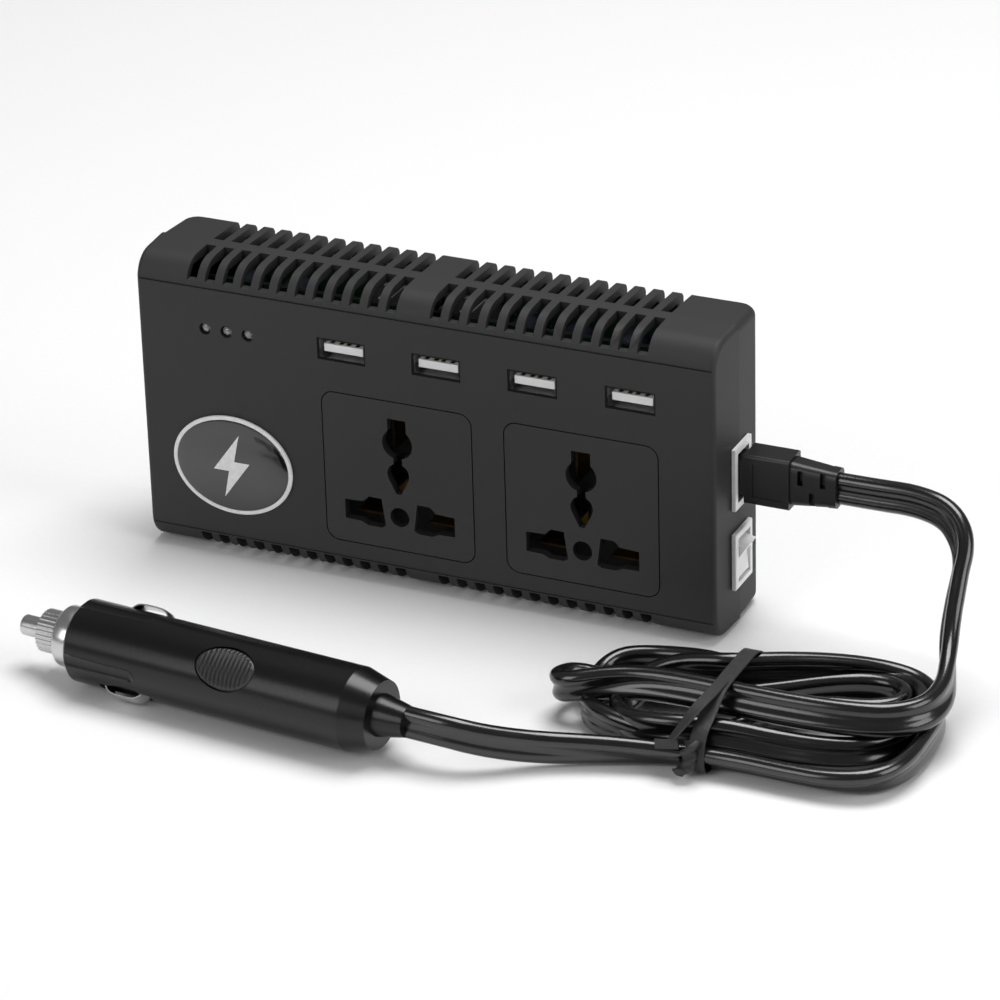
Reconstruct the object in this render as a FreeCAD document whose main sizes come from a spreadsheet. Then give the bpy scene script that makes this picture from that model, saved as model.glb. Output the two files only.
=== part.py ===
import FreeCAD, Part
import math
import os
import Sketcher
from FreeCAD import Placement, Rotation, Vector

# A small power inverter with a lead to a vehicle's 12 V outlet.  Millimetres.
# Frame: +X along the case towards the inlet and switch, the front panel faces -Y, +Z up.
# The origin is the middle of the base, on the plane where the two shells of the case part.

doc = FreeCAD.newDocument("power_inverter")
sheet = doc.addObject("Spreadsheet::Sheet", "sizes")

SIZES = {
    # case: two moulded shells that meet on the plane y = 0
    "case_length": 160.0,
    "case_height": 81.5,
    "front_depth": 14.8,
    "rear_depth": 15.4,
    "draft_slope": 0.0385,
    "base_flat": 6.0,
    "wall": 2.2,
    "front_round": 7.0,
    "edge_round": 1.4,
    "rear_corner": 4.6,
    "seam_width": 0.5,
    "seam_depth": 0.4,
    "seam_top": 74.7,
    "seam_bottom": 5.6,
    # cooling slots: two groups along the top and two along the bottom of each shell
    "vent_count": 12,
    "vent_pitch": 5.08,
    "vent_width": 2.9,
    "vent_left": -64.9,
    "vent_right": 3.1,
    "vent_reach": 5.1,
    "vent_front_end": 2.8,
    "vent_rear_end": 0.9,
    # outlets on the front panel
    "usb_width": 13.4,
    "usb_height": 6.0,
    "usb_pitch": 26.3,
    "usb_first": -28.4,
    "usb_bottom": 60.6,
    "usb_depth": 11.0,
    "usb_sheet": 0.35,
    "led_radius": 1.5,
    "led_hole_radius": 1.65,
    "led_first": -60.2,
    "led_pitch": 6.03,
    "led_height": 63.65,
    "socket_side": 42.0,
    "socket_corner": 3.6,
    "socket_gap": 0.3,
    "socket_left": -7.0,
    "socket_right": 43.6,
    "socket_height": 31.2,
    "badge_x": -54.0,
    "badge_height": 26.4,
    "badge_width": 34.2,
    "badge_tall": 27.6,
    "badge_rim": 1.15,
    "badge_thickness": 0.8,
    # inlet and switch on the right side, across the parting plane
    "inlet_height": 41.5,
    "inlet_tall": 16.8,
    "inlet_width": 10.6,
    "flange": 1.0,
    "switch_height": 18.9,
    "switch_tall": 15.4,
    "switch_width": 11.0,
    "rocker_half": 4.6,
    "rocker_width": 7.2,
    "rocker_tilt": 13.0,
    "pivot_radius": 0.9,
    "pivot_x": 78.4,
    # connector on the lead
    "connector_tall": 13.4,
    "connector_width": 8.2,
    "connector_start": 82.7,
    "connector_end": 94.6,
    "relief_end": 106.5,
    # cord: a flat twin lead of 8.4 by 4.05, kept here as a round tube of the same section
    "cord_tube": 6.0,
    # car plug
    "plug_radius": 10.5,
    "plug_length": 78.6,
    "plug_taper_end": 85.2,
    "plug_sleeve_end": 92.5,
    "plug_heading": -5.0,
    "plug_roll": 42.0,
    "plug_x": -58.6,
    "plug_y": -87.4,
    "fuse_radius": 3.0,
    "fuse_length": 30.0,
    "fuse_bore": 3.5,
}
for row, (alias, value) in enumerate(SIZES.items(), 1):
    sheet.set(f"A{row}", alias)
    sheet.set(f"B{row}", str(value))
    sheet.setAlias(f"B{row}", alias)
doc.recompute()


def size(alias):
    """A driving dimension, read from the sheet."""
    return float(sheet.get(alias))


def cell(alias):
    """The same dimension as the text of an expression."""
    return f"sizes.{alias}"


# ---------------------------------------------------------------- sketches and features

PARTS = []


def keep(obj, label):
    """Names a finished sub-part, which becomes one file."""
    obj.Label = label
    PARTS.append(obj)
    return obj


def new_body(label):
    body = doc.addObject("PartDesign::Body", label)
    return keep(body, label)


def new_sketch(body, plane, offset="0"):
    """A sketch on one of the body's origin planes, moved along that plane's normal."""
    sketch = body.newObject("Sketcher::SketchObject", "sketch")
    origin_plane = [f for f in body.Origin.OriginFeatures if f.Role == plane][0]
    sketch.AttachmentSupport = [(origin_plane, "")]
    sketch.MapMode = "FlatFace"
    sketch.setExpression("AttachmentOffset.Base.z", offset)
    return sketch


def polygon(sketch, corners):
    """A closed outline; each corner is a pair of expressions, in order round the outline."""
    first = sketch.GeometryCount
    count = len(corners)
    ring = [
        Vector(math.cos(2 * math.pi * i / count), math.sin(2 * math.pi * i / count), 0)
        for i in range(count)
    ]
    for i in range(count):
        sketch.addGeometry(Part.LineSegment(ring[i], ring[(i + 1) % count]), False)
    for i in range(count):
        after = first + (i + 1) % count
        sketch.addConstraint(Sketcher.Constraint("Coincident", first + i, 2, after, 1))
    for i, (across, up) in enumerate(corners):
        for kind, expression, start in (("DistanceX", across, ring[i].x), ("DistanceY", up, ring[i].y)):
            tie = sketch.addConstraint(Sketcher.Constraint(kind, -1, 1, first + i, 1, start))
            sketch.setExpression(f"Constraints[{tie}]", expression)


def rectangle(sketch, left, bottom, right, top):
    polygon(sketch, [(left, bottom), (right, bottom), (right, top), (left, top)])


def circle(sketch, across, up, radius):
    index = sketch.addGeometry(Part.Circle(Vector(1, 1, 0), Vector(0, 0, 1), 1), False)
    for kind, expression in (("DistanceX", across), ("DistanceY", up)):
        tie = sketch.addConstraint(Sketcher.Constraint(kind, -1, 1, index, 3, 1))
        sketch.setExpression(f"Constraints[{tie}]", expression)
    tie = sketch.addConstraint(Sketcher.Constraint("Radius", index, 1))
    sketch.setExpression(f"Constraints[{tie}]", radius)


def pad(body, sketch, length, both_ways=False, reverse=False):
    feature = body.newObject("PartDesign::Pad", "pad")
    feature.Profile = sketch
    feature.setExpression("Length", length)
    feature.Midplane = both_ways
    feature.Reversed = reverse
    return feature


def pocket(body, sketch, length, both_ways=False, reverse=False):
    feature = body.newObject("PartDesign::Pocket", "pocket")
    feature.Profile = sketch
    feature.setExpression("Length", length)
    feature.Midplane = both_ways
    feature.Reversed = reverse
    return feature


def fillet(body, radius, wanted):
    """Rounds the edges of the body so far for which wanted(edge) is true."""
    doc.recompute()
    base = body.Tip
    names = [f"Edge{i}" for i, edge in enumerate(base.Shape.Edges, 1) if wanted(edge)]
    feature = body.newObject("PartDesign::Fillet", "fillet")
    feature.Base = (base, names)
    feature.setExpression("Radius", radius)
    return feature


def repeat_along_x(body, feature, sketch, pitch, count):
    """Repeats the last feature along +X at an even pitch."""
    pattern = body.newObject("PartDesign::LinearPattern", "row")
    pattern.Originals = [feature]
    pattern.Direction = (sketch, ["H_Axis"])
    pattern.setExpression("Length", f"{pitch} * ({count} - 1)")
    pattern.setExpression("Occurrences", count)
    body.Tip = pattern
    return pattern


def solid_feature(label, shape, place=None):
    """A sub-part shaped with Part's own functions."""
    feature = doc.addObject("Part::Feature", label)
    feature.Shape = shape
    if place is not None:
        feature.Placement = place
    return keep(feature, label)


def block(x0, y0, z0, x1, y1, z1):
    """A box between two corners."""
    return Part.makeBox(x1 - x0, y1 - y0, z1 - z0, Vector(x0, y0, z0))


def rod(x0, x1, radius, y=0.0, z=0.0):
    """A cylinder along X."""
    return Part.makeCylinder(radius, x1 - x0, Vector(x0, y, z), Vector(1, 0, 0))


def lies_along(edge, direction):
    """True for a straight edge that runs along the direction."""
    if not isinstance(edge.Curve, Part.Line):
        return False
    return abs(edge.Curve.Direction.dot(direction)) > 0.999


# Planes and heights that pieces in different sections share.
BOARD_FACE = -3.4
MAIN_BOARD_FACE = 9.4
CONTACT_LEVELS = (39.6, 44.8)
SCREW_SPOTS = [(-72.5, 17.0), (72.5, 8.6), (-72.5, 66.0), (72.5, 70.0)]

# ---------------------------------------------------------------- the case


def cut_vents(body, low_y, high_y):
    """Both rows of cooling slots, over the rounded long edges at the top and the bottom."""
    for first in ("vent_left", "vent_right"):
        for level, going_up in ((f"{cell('case_height')} + 1", False), ("-1", True)):
            sketch = new_sketch(body, "XY_Plane", level)
            left = cell(first)
            right = f"{cell(first)} + {cell('vent_width')}"
            rectangle(sketch, left, low_y, right, high_y)
            reach = f"{cell('vent_reach')} + 1"
            slot = pocket(body, sketch, reach, reverse=going_up)
            repeat_along_x(body, slot, sketch, cell("vent_pitch"), cell("vent_count"))


def cut_side_openings(body):
    """The cut-outs for the inlet and the switch, shared by both shells at the right side."""
    fit = 0.15
    for height, tall, width in (
        ("inlet_height", "inlet_tall", "inlet_width"),
        ("switch_height", "switch_tall", "switch_width"),
    ):
        sketch = new_sketch(body, "YZ_Plane", f"{cell('case_length')} / 2 + 2")
        half_y = f"({cell(width)} / 2 - {cell('flange')} + {fit})"
        half_z = f"({cell(tall)} / 2 - {cell('flange')} + {fit})"
        middle = cell(height)
        rectangle(
            sketch, f"-{half_y}", f"{middle} - {half_z}", half_y, f"{middle} + {half_z}"
        )
        pocket(body, sketch, "8")


def trim_sides(body, depth, sign):
    """Draws the two ends in towards the face, by the moulding draft."""
    half = f"{cell('case_length')} / 2"
    far = f"{sign} * ({cell(depth)} + 2)"
    drawn_in = f"({half} - {cell('draft_slope')} * ({cell(depth)} + 2))"
    for side in ("", "-"):
        sketch = new_sketch(body, "XY_Plane")
        polygon(
            sketch,
            [
                (f"{side}({half})", "0"),
                (f"{side}({half} + 5)", "0"),
                (f"{side}({half} + 5)", far),
                (f"{side}{drawn_in}", far),
            ],
        )
        pocket(body, sketch, f"{cell('case_height')} + 5", both_ways=False, reverse=True)


def shell_blank(body, depth, sign):
    """The outer block of one shell: flat base strip at the joint, then draft on top and bottom."""
    sketch = new_sketch(body, "YZ_Plane")
    outer = f"{sign} * {cell(depth)}"
    flat = f"{sign} * {cell('base_flat')}"
    lift = f"{cell('draft_slope')} * ({cell(depth)} - {cell('base_flat')})"
    drop = f"{cell('case_height')} - {cell('draft_slope')} * {cell(depth)}"
    polygon(
        sketch,
        [("0", "0"), (flat, "0"), (outer, lift), (outer, drop), ("0", cell("case_height"))],
    )
    pad(body, sketch, cell("case_length"), both_ways=True)


def hollow(body, depth, sign):
    """The inside of one shell, open at the parting plane, with the corners eased."""
    wall = cell("wall")
    ease = f"({cell('front_round')} - {cell('wall')})"
    deep = f"{sign} * ({cell(depth)} - {wall})"
    eased = f"{sign} * ({cell(depth)} - {wall} - 0.45 * {ease})"
    low = f"{wall} + 0.3"
    high = f"{cell('case_height')} - {wall} - 0.3"
    sketch = new_sketch(body, "YZ_Plane")
    polygon(
        sketch,
        [
            (f"{sign} * -1", low),
            (eased, low),
            (deep, f"{low} + 0.6 * {ease}"),
            (deep, f"{high} - 0.6 * {ease}"),
            (eased, high),
            (f"{sign} * -1", high),
        ],
    )
    pocket(body, sketch, f"{cell('case_length')} - 2 * ({wall} + 0.3)", both_ways=True)


def add_bosses(body, depth, sign, bore):
    """Round posts for the case screws, from the face's inside to the parting plane."""
    boss_radius = "2.6"
    posts = new_sketch(body, "XZ_Plane")
    for x, z in SCREW_SPOTS:
        circle(posts, str(x), str(z), boss_radius)
    pad(body, posts, f"{cell(depth)} - 1", reverse=sign > 0)
    holes = new_sketch(body, "XZ_Plane")
    for x, z in SCREW_SPOTS:
        circle(holes, str(x), str(z), str(bore))
    if sign > 0:
        pocket(body, holes, f"{cell(depth)} + 1")
    else:
        pocket(body, holes, f"{cell(depth)} - {cell('wall')} - 1", reverse=True)


def front_shell():
    body = new_body("front_shell")
    shell_blank(body, "front_depth", -1)
    front = -size("front_depth")
    x_axis = Vector(1, 0, 0)
    fillet(
        body,
        cell("front_round"),
        lambda e: lies_along(e, x_axis) and abs(e.CenterOfMass.y - front) < 0.01,
    )
    trim_sides(body, "front_depth", -1)
    half = size("case_length") / 2
    fillet(
        body,
        cell("edge_round"),
        lambda e: abs(e.CenterOfMass.x) > half - 1 and e.CenterOfMass.y < -0.1,
    )
    hollow(body, "front_depth", -1)
    add_bosses(body, "front_depth", -1, 1.0)
    cut_vents(body, f"-{cell('front_depth')} - 1", f"-{cell('vent_front_end')}")
    cut_side_openings(body)
    cut_panel_openings(body)
    return body


def cut_panel_openings(body):
    """Everything that opens through the front panel, and the two long seam grooves."""
    face = cell("front_depth")
    through = f"{cell('wall')} + 2"
    ports = new_sketch(body, "XZ_Plane", f"{face} + 1")
    left = cell("usb_first")
    bottom = cell("usb_bottom")
    rectangle(
        ports,
        left,
        bottom,
        f"{left} + {cell('usb_width')}",
        f"{bottom} + {cell('usb_height')}",
    )
    cut = pocket(body, ports, through)
    repeat_along_x(body, cut, ports, cell("usb_pitch"), "4")

    lamps = new_sketch(body, "XZ_Plane", f"{face} + 1")
    circle(lamps, cell("led_first"), cell("led_height"), cell("led_hole_radius"))
    cut = pocket(body, lamps, through)
    repeat_along_x(body, cut, lamps, cell("led_pitch"), "3")

    for middle in ("socket_left", "socket_right"):
        window = new_sketch(body, "XZ_Plane", f"{face} + 1")
        half = f"{cell('socket_side')} / 2"
        rectangle(
            window,
            f"{cell(middle)} - {half}",
            f"{cell('socket_height')} - {half}",
            f"{cell(middle)} + {half}",
            f"{cell('socket_height')} + {half}",
        )
        pocket(body, window, through)
        middle_x = size(middle)
        reach = size("socket_side") / 2
        fillet(
            body,
            cell("socket_corner"),
            lambda e: lies_along(e, Vector(0, 1, 0))
            and abs(abs(e.CenterOfMass.x - middle_x) - reach) < 0.01
            and abs(abs(e.CenterOfMass.z - size("socket_height")) - reach) < 0.01,
        )

    for level in ("seam_top", "seam_bottom"):
        seam = new_sketch(body, "XZ_Plane", f"{face} + 1")
        half = f"({cell('case_length')} / 2 - 1.2)"
        rectangle(
            seam,
            f"-{half}",
            cell(level),
            half,
            f"{cell(level)} + {cell('seam_width')}",
        )
        pocket(body, seam, f"1 + {cell('seam_depth')}")


def rear_shell():
    body = new_body("rear_shell")
    shell_blank(body, "rear_depth", 1)
    trim_sides(body, "rear_depth", 1)
    rear = size("rear_depth")
    half = size("case_length") / 2
    fillet(
        body,
        cell("rear_corner"),
        lambda e: lies_along(e, Vector(0, 0, 1)) and abs(e.CenterOfMass.y - rear) < 0.01,
    )
    fillet(
        body,
        f"{cell('edge_round')} + 1",
        lambda e: e.CenterOfMass.y > 0.1
        and not lies_along(e, Vector(0, 0, 1))
        and (abs(e.CenterOfMass.x) > half - 4 or abs(e.CenterOfMass.y - rear) < 0.01),
    )
    hollow(body, "rear_depth", 1)
    add_bosses(body, "rear_depth", 1, 1.3)
    heads = new_sketch(body, "XZ_Plane", f"-{cell('rear_depth')}")
    for x, z in SCREW_SPOTS:
        circle(heads, str(x), str(z), "2.0")
    pocket(body, heads, "2.2", reverse=True)
    cut_vents(body, cell("vent_rear_end"), f"{cell('rear_depth')} + 1")
    cut_side_openings(body)
    return body


def case_screws():
    """Four pan-head screws, driven from the rear into the front shell's posts."""
    head = size("rear_depth") - 2.2
    screws = []
    for x, z in SCREW_SPOTS:
        shank = Part.makeCylinder(0.95, 17.0, Vector(x, head - 17.0, z), Vector(0, 1, 0))
        cap = Part.makeCylinder(1.8, 1.4, Vector(x, head, z), Vector(0, 1, 0))
        slot = block(x - 1.5, head + 0.8, z - 0.3, x + 1.5, head + 2.0, z + 0.3)
        cross = block(x - 0.3, head + 0.8, z - 1.5, x + 0.3, head + 2.0, z + 1.5)
        screws.append(shank.fuse(cap).cut(slot).cut(cross))
    solid_feature("case_screws", Part.makeCompound(screws))


# ---------------------------------------------------------------- universal sockets


def place_body(body, across, back, up):
    """Puts a body at a place given by three expressions."""
    body.setExpression("Placement.Base.x", across)
    body.setExpression("Placement.Base.y", back)
    body.setExpression("Placement.Base.z", up)


def socket_face(label, middle):
    """A square insert with a flange behind the panel and openings for many kinds of plug."""
    body = new_body(label)
    plate = new_sketch(body, "XZ_Plane")
    half = f"({cell('socket_side')} / 2 - {cell('socket_gap')})"
    rectangle(plate, f"-{half}", f"-{half}", half, half)
    thick = f"{cell('wall')} + 0.2"
    pad(body, plate, thick, reverse=True)
    fillet(
        body,
        f"{cell('socket_corner')} - {cell('socket_gap')}",
        lambda e: lies_along(e, Vector(0, 1, 0)),
    )
    flange = new_sketch(body, "XZ_Plane", f"-({thick})")
    wide = f"({cell('socket_side')} / 2 + 1.4)"
    clear = f"({cell('socket_side')} / 2 - 2.5)"
    rectangle(flange, f"-{wide}", f"-{wide}", wide, wide)
    rectangle(flange, f"-{clear}", f"-{clear}", clear, clear)
    pad(body, flange, "1.2", reverse=True)
    for draw in (earth_opening, earth_ring, neck, teardrop, centre_hole, left_slot, right_slot):
        sketch = new_sketch(body, "XZ_Plane", "1")
        draw(sketch)
        pocket(body, sketch, "6")
    place_body(body, cell(middle), f"-{cell('front_depth')}", cell("socket_height"))
    return body


def earth_opening(sketch):
    rectangle(sketch, "-2.6", "9", "2.6", "16")


def earth_ring(sketch):
    circle(sketch, "0", "9.2", "4.2")


def neck(sketch):
    rectangle(sketch, "-1.2", "2.6", "1.2", "6.2")


def teardrop(sketch):
    """A round opening that narrows downwards to a blunt tip, drawn with short straight sides."""
    middle, radius, tip, tip_half = 0.6, 3.1, -4.9, 0.7
    corners = [(-tip_half, tip), (tip_half, tip)]
    for step in range(11):
        turn = math.radians(-25 + 23 * step)
        corners.append((radius * math.cos(turn), middle + radius * math.sin(turn)))
    polygon(sketch, [(f"{x:.3f}", f"{z:.3f}") for x, z in corners])


def centre_hole(sketch):
    circle(sketch, "0", "-11.4", "2.65")


SLOT_CORNERS = [
    (4.0, -14.5),
    (5.2, -15.2),
    (9.0, -15.2),
    (11.0, -14.3),
    (15.4, -14.2),
    (15.4, -8.8),
    (10.2, -8.6),
    (8.6, -7.0),
    (5.0, -7.0),
]


def right_slot(sketch):
    polygon(sketch, [(str(x), str(z)) for x, z in SLOT_CORNERS])


def left_slot(sketch):
    polygon(sketch, [(str(-x), str(z)) for x, z in SLOT_CORNERS])


def fork(width, gap, y0, y1, thickness=0.6):
    """Two brass leaves joined at the back; a plug's pin goes between them."""
    outer = block(-width / 2, y0, -gap / 2 - thickness, width / 2, y1, gap / 2 + thickness)
    inner = block(-width / 2 - 1, y0 - 1, -gap / 2, width / 2 + 1, y1 - thickness, gap / 2)
    return outer.cut(inner)


def socket_contacts(label, middle):
    """The live, neutral and earth forks of one socket."""
    front, back = 5.4, 17.0
    pin_spacing, pin_level, earth_level = 10.0, -11.4, 9.2
    live = fork(9.0, 5.0, front, back)
    neutral = live.copy()
    live.translate(Vector(pin_spacing, 0, pin_level))
    neutral.translate(Vector(-pin_spacing, 0, pin_level))
    earth = fork(9.0, 6.4, front, back)
    earth.rotate(Vector(0, 0, 0), Vector(0, 1, 0), 90)
    earth.translate(Vector(0, 0, earth_level))
    place = Placement(
        Vector(size(middle), -size("front_depth"), size("socket_height")), Rotation()
    )
    solid_feature(label, Part.makeCompound([live, neutral, earth]), place)


def socket_base(label, middle):
    """The moulded block at the back of one socket, which carries its forks."""
    y0, y1 = 17.0, 19.4
    left, right, low, high = -24.0, 19.0, -25.5, 15.0
    base = block(left, y0, low, right, y1, high)
    place = Placement(
        Vector(size(middle), -size("front_depth"), size("socket_height")), Rotation()
    )
    solid_feature(label, base, place)


# ---------------------------------------------------------------- USB ports and lamps


def port_corner(index):
    """The lower left front corner of one port's opening in the panel."""
    return Vector(
        size("usb_first") + index * size("usb_pitch"), -size("front_depth"), size("usb_bottom")
    )


def usb_shell(index):
    """A folded steel sleeve, open at the front, with its turned lip at the mouth."""
    gap, setback = 0.1, 0.2
    wide = size("usb_width") - 2 * gap
    tall = size("usb_height") - 2 * gap
    deep = size("usb_depth")
    metal = size("usb_sheet")
    outer = block(gap, setback, gap, gap + wide, deep, gap + tall)
    inner = block(
        gap + metal, 0, gap + metal, gap + wide - metal, deep - metal, gap + tall - metal
    )
    place = Placement(port_corner(index), Rotation())
    solid_feature(f"usb_shell_{index + 1}", outer.cut(inner), place)


TONGUE = {"left": 1.3, "right": 12.1, "low": 1.8, "high": 3.9, "front": 1.5}


def usb_tongue(index):
    """The white insulator: a tongue down the middle of the port and its rear block."""
    rear = size("usb_depth") - size("usb_sheet")
    side = size("usb_sheet") + 0.2
    tongue = block(
        TONGUE["left"], TONGUE["front"], TONGUE["low"], TONGUE["right"], rear - 1.6, TONGUE["high"]
    )
    back = block(
        side, rear - 1.6, side, size("usb_width") - side, rear - 0.05, size("usb_height") - side
    )
    place = Placement(port_corner(index), Rotation())
    solid_feature(f"usb_tongue_{index + 1}", tongue.fuse(back).removeSplitter(), place)


def usb_contacts():
    """Four plated strips on each tongue."""
    strips = []
    width, thickness = 1.0, 0.15
    rear = size("usb_depth") - size("usb_sheet") - 1.6
    for index in range(4):
        corner = port_corner(index)
        middle = (TONGUE["left"] + TONGUE["right"]) / 2
        for shift in (-3.5, -1.0, 1.0, 3.5):
            x = middle + shift - width / 2
            strip = block(
                x, TONGUE["front"] + 0.5, TONGUE["high"], x + width, rear, TONGUE["high"] + thickness
            )
            strip.translate(corner)
            strips.append(strip)
    solid_feature("usb_contacts", Part.makeCompound(strips))


def status_led(index):
    """A clear 3 mm lamp: domed front, collar behind the panel and two legs to the board."""
    radius = size("led_radius")
    tip = -size("front_depth") + 0.2
    along = Vector(0, 1, 0)
    x = size("led_first") + index * size("led_pitch")
    z = size("led_height")
    barrel = Part.makeCylinder(radius, 3.6, Vector(x, tip + radius, z), along)
    dome = Part.makeSphere(radius, Vector(x, tip + radius, z))
    collar = Part.makeCylinder(radius + 0.35, 0.9, Vector(x, tip + radius + 3.6, z), along)
    lamp = barrel.fuse(dome).fuse(collar)
    leg_start = tip + radius + 4.5
    for shift in (-0.8, 0.8):
        leg = Part.makeCylinder(0.25, BOARD_FACE - leg_start, Vector(x + shift, leg_start, z), along)
        lamp = lamp.fuse(leg)
    solid_feature(f"status_led_{index + 1}", lamp.removeSplitter())


# ---------------------------------------------------------------- badge


def oval(width, tall, y0, y1):
    """An elliptical disc on the panel, between two depths."""
    centre = Vector(size("badge_x"), y0, size("badge_height"))
    curve = Part.Ellipse(
        centre + Vector(width / 2, 0, 0), centre + Vector(0, 0, tall / 2), centre
    )
    face = Part.Face(Part.Wire(curve.toShape()))
    return face.extrude(Vector(0, y1 - y0, 0))


def badge():
    """A glued oval badge: white rim, gloss black field and a plain lightning bolt."""
    face = -size("front_depth")
    front = face - size("badge_thickness")
    wide, tall, rim = size("badge_width"), size("badge_tall"), size("badge_rim")
    ring = oval(wide, tall, face, front).cut(
        oval(wide - 2 * rim, tall - 2 * rim, face + 1, front - 1)
    )
    solid_feature("badge_rim", ring)
    field = oval(wide - 2 * rim, tall - 2 * rim, face, front + 0.1)
    solid_feature("badge_plate", field)
    bolt = [(2.4, 9.0), (-5.2, -1.4), (-0.8, -1.4), (-2.4, -9.0), (5.2, 1.4), (0.8, 1.4), (2.4, 9.0)]
    corners = [
        Vector(size("badge_x") + x, front + 0.1, size("badge_height") + z) for x, z in bolt
    ]
    outline = Part.Face(Part.makePolygon(corners))
    solid_feature("badge_emblem", outline.extrude(Vector(0, -0.2, 0)))


# ---------------------------------------------------------------- inlet and switch


def side_face():
    """The plane of the case's right side at the parting line, just clear of the moulding."""
    return size("case_length") / 2 + 0.05


def hollow_box(x0, x1, half_y, half_z, wall, middle):
    """A box along X, open at its outer end."""
    outer = block(x0, -half_y, middle - half_z, x1, half_y, middle + half_z)
    inner = block(
        x0 + wall,
        -half_y + wall,
        middle - half_z + wall,
        x1 + 1,
        half_y - wall,
        middle + half_z - wall,
    )
    return outer.cut(inner)


INLET_DEPTH = 12.0
INLET_WALL = 0.7


def inlet_housing():
    """The white inlet: a thin frame outside and a deep well for the connector's nose."""
    x = side_face()
    middle = size("inlet_height")
    half_y = size("inlet_width") / 2 - size("flange") - 0.05
    half_z = size("inlet_tall") / 2 - size("flange") - 0.05
    well = hollow_box(x - INLET_DEPTH, x, half_y, half_z, INLET_WALL, middle)
    wide, tall = size("inlet_width") / 2, size("inlet_tall") / 2
    frame = block(x, -wide, middle - tall, x + size("flange"), wide, middle + tall)
    inside = block(
        x - 1,
        -half_y + INLET_WALL,
        middle - half_z + INLET_WALL,
        x + 2,
        half_y - INLET_WALL,
        middle + half_z - INLET_WALL,
    )
    body = well.fuse(frame).cut(inside)
    for level in CONTACT_LEVELS:
        body = body.cut(rod(x - INLET_DEPTH - 1, x, 0.8, 0, level))
    solid_feature("inlet_housing", body.removeSplitter())


def inlet_pins():
    """Two round pins at the back of the well, with tails for the wires."""
    x = side_face()
    pins = [rod(x - INLET_DEPTH - 4, x - 2.0, 0.8, 0, level) for level in CONTACT_LEVELS]
    solid_feature("inlet_pins", Part.makeCompound(pins))


def switch_bezel():
    """The white switch body, which snaps into the case and holds the rocker's pivot."""
    x = side_face()
    middle = size("switch_height")
    half_y = size("switch_width") / 2 - size("flange") - 0.05
    half_z = size("switch_tall") / 2 - size("flange") - 0.05
    thin = 0.55
    well = hollow_box(x - 11.5, x, half_y, half_z, thin, middle)
    wide, tall = size("switch_width") / 2, size("switch_tall") / 2
    front = x + size("flange") + 0.2
    frame = block(x, -wide, middle - tall, front, wide, middle + tall)
    outer_edges = [e for e in frame.Edges if abs(e.CenterOfMass.x - front) < 0.01]
    frame = frame.makeFillet(0.4, outer_edges)
    inside = block(
        x - 1, -half_y + thin, middle - half_z + thin, x + 3, half_y - thin, middle + half_z - thin
    )
    body = well.fuse(frame).cut(inside)
    pivot = Part.makeCylinder(
        size("pivot_radius") + 0.07,
        size("switch_width"),
        Vector(size("pivot_x"), -size("switch_width") / 2, middle),
        Vector(0, 1, 0),
    )
    shell_only = block(x - 11, -half_y - 0.01, middle - 3, x, half_y + 0.01, middle + 3)
    body = body.cut(pivot.common(shell_only))
    solid_feature("switch_bezel", body.removeSplitter())


def switch_rocker():
    """The rocker, drawn level and tipped about its pins so that its upper end stands out."""
    half = size("rocker_half")
    horn, dish = 3.6, 2.1
    profile = [
        (-2.6, -1.8),
        (0.6, -half),
        (horn, -half + 0.15),
        (dish, 0.0),
        (horn, half - 0.15),
        (0.6, half),
        (-2.6, 1.8),
    ]
    width = size("rocker_width")
    points = [Vector(x, -width / 2, z) for x, z in profile]
    face = Part.Face(Part.makePolygon(points + points[:1]))
    rocker = face.extrude(Vector(0, width, 0))
    long_pin = width + 1.1
    pins = Part.makeCylinder(
        size("pivot_radius"), long_pin, Vector(0, -long_pin / 2, 0), Vector(0, 1, 0)
    )
    place = Placement(
        Vector(size("pivot_x"), 0, size("switch_height")),
        Rotation(Vector(0, 1, 0), size("rocker_tilt")),
    )
    solid_feature("switch_rocker", rocker.fuse(pins).removeSplitter(), place)


def switch_terminals():
    """Two tabs out of the back of the switch."""
    x = side_face() - 11.5
    middle = size("switch_height")
    tabs = [block(x - 6, -2.4, middle + z - 0.4, x, 2.4, middle + z + 0.4) for z in (-3.5, 3.5)]
    solid_feature("switch_terminals", Part.makeCompound(tabs))


# ---------------------------------------------------------------- inside the case



def front_board():
    """The narrow board behind the ports and lamps."""
    board = block(-66, BOARD_FACE, 56, 68, BOARD_FACE + 1.6, 73)
    solid_feature("front_board", board)


def main_board():
    """The power board, flat against the inside of the rear shell."""
    board = block(-68, MAIN_BOARD_FACE, 9, 58, MAIN_BOARD_FACE + 1.6, 75)
    solid_feature("main_board", board)


def transformer():
    """A ferrite core with its winding on the middle limb."""
    x0, x1, z0, z1 = -66.0, -38.0, 16.0, 46.0
    y0, y1 = -8.0, MAIN_BOARD_FACE
    middle = (y0 + y1) / 2
    core = block(x0, y0 + 3, z0, x1, y1, z1)
    window = block(x0 + 5, y0, z0 + 5, x1 - 5, y1, z1 - 5)
    limb_radius = 4.0
    limb = Part.makeCylinder(
        limb_radius, z1 - z0, Vector((x0 + x1) / 2, middle, z0), Vector(0, 0, 1)
    )
    solid_feature("transformer_core", core.cut(window).fuse(limb).removeSplitter())
    coil_height = z1 - z0 - 10.4
    coil_foot = Vector((x0 + x1) / 2, middle, z0 + 5.2)
    coil = Part.makeCylinder(8.4, coil_height, coil_foot, Vector(0, 0, 1))
    coil = coil.cut(Part.makeCylinder(limb_radius + 0.1, coil_height, coil_foot, Vector(0, 0, 1)))
    solid_feature("transformer_winding", coil)


CAPACITOR_SPOTS = [(-58.0, 66.0), (-44.0, 66.5), (-30.0, 52.0), (20.0, 66.0), (34.0, 66.0), (48.0, 66.5)]


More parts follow.
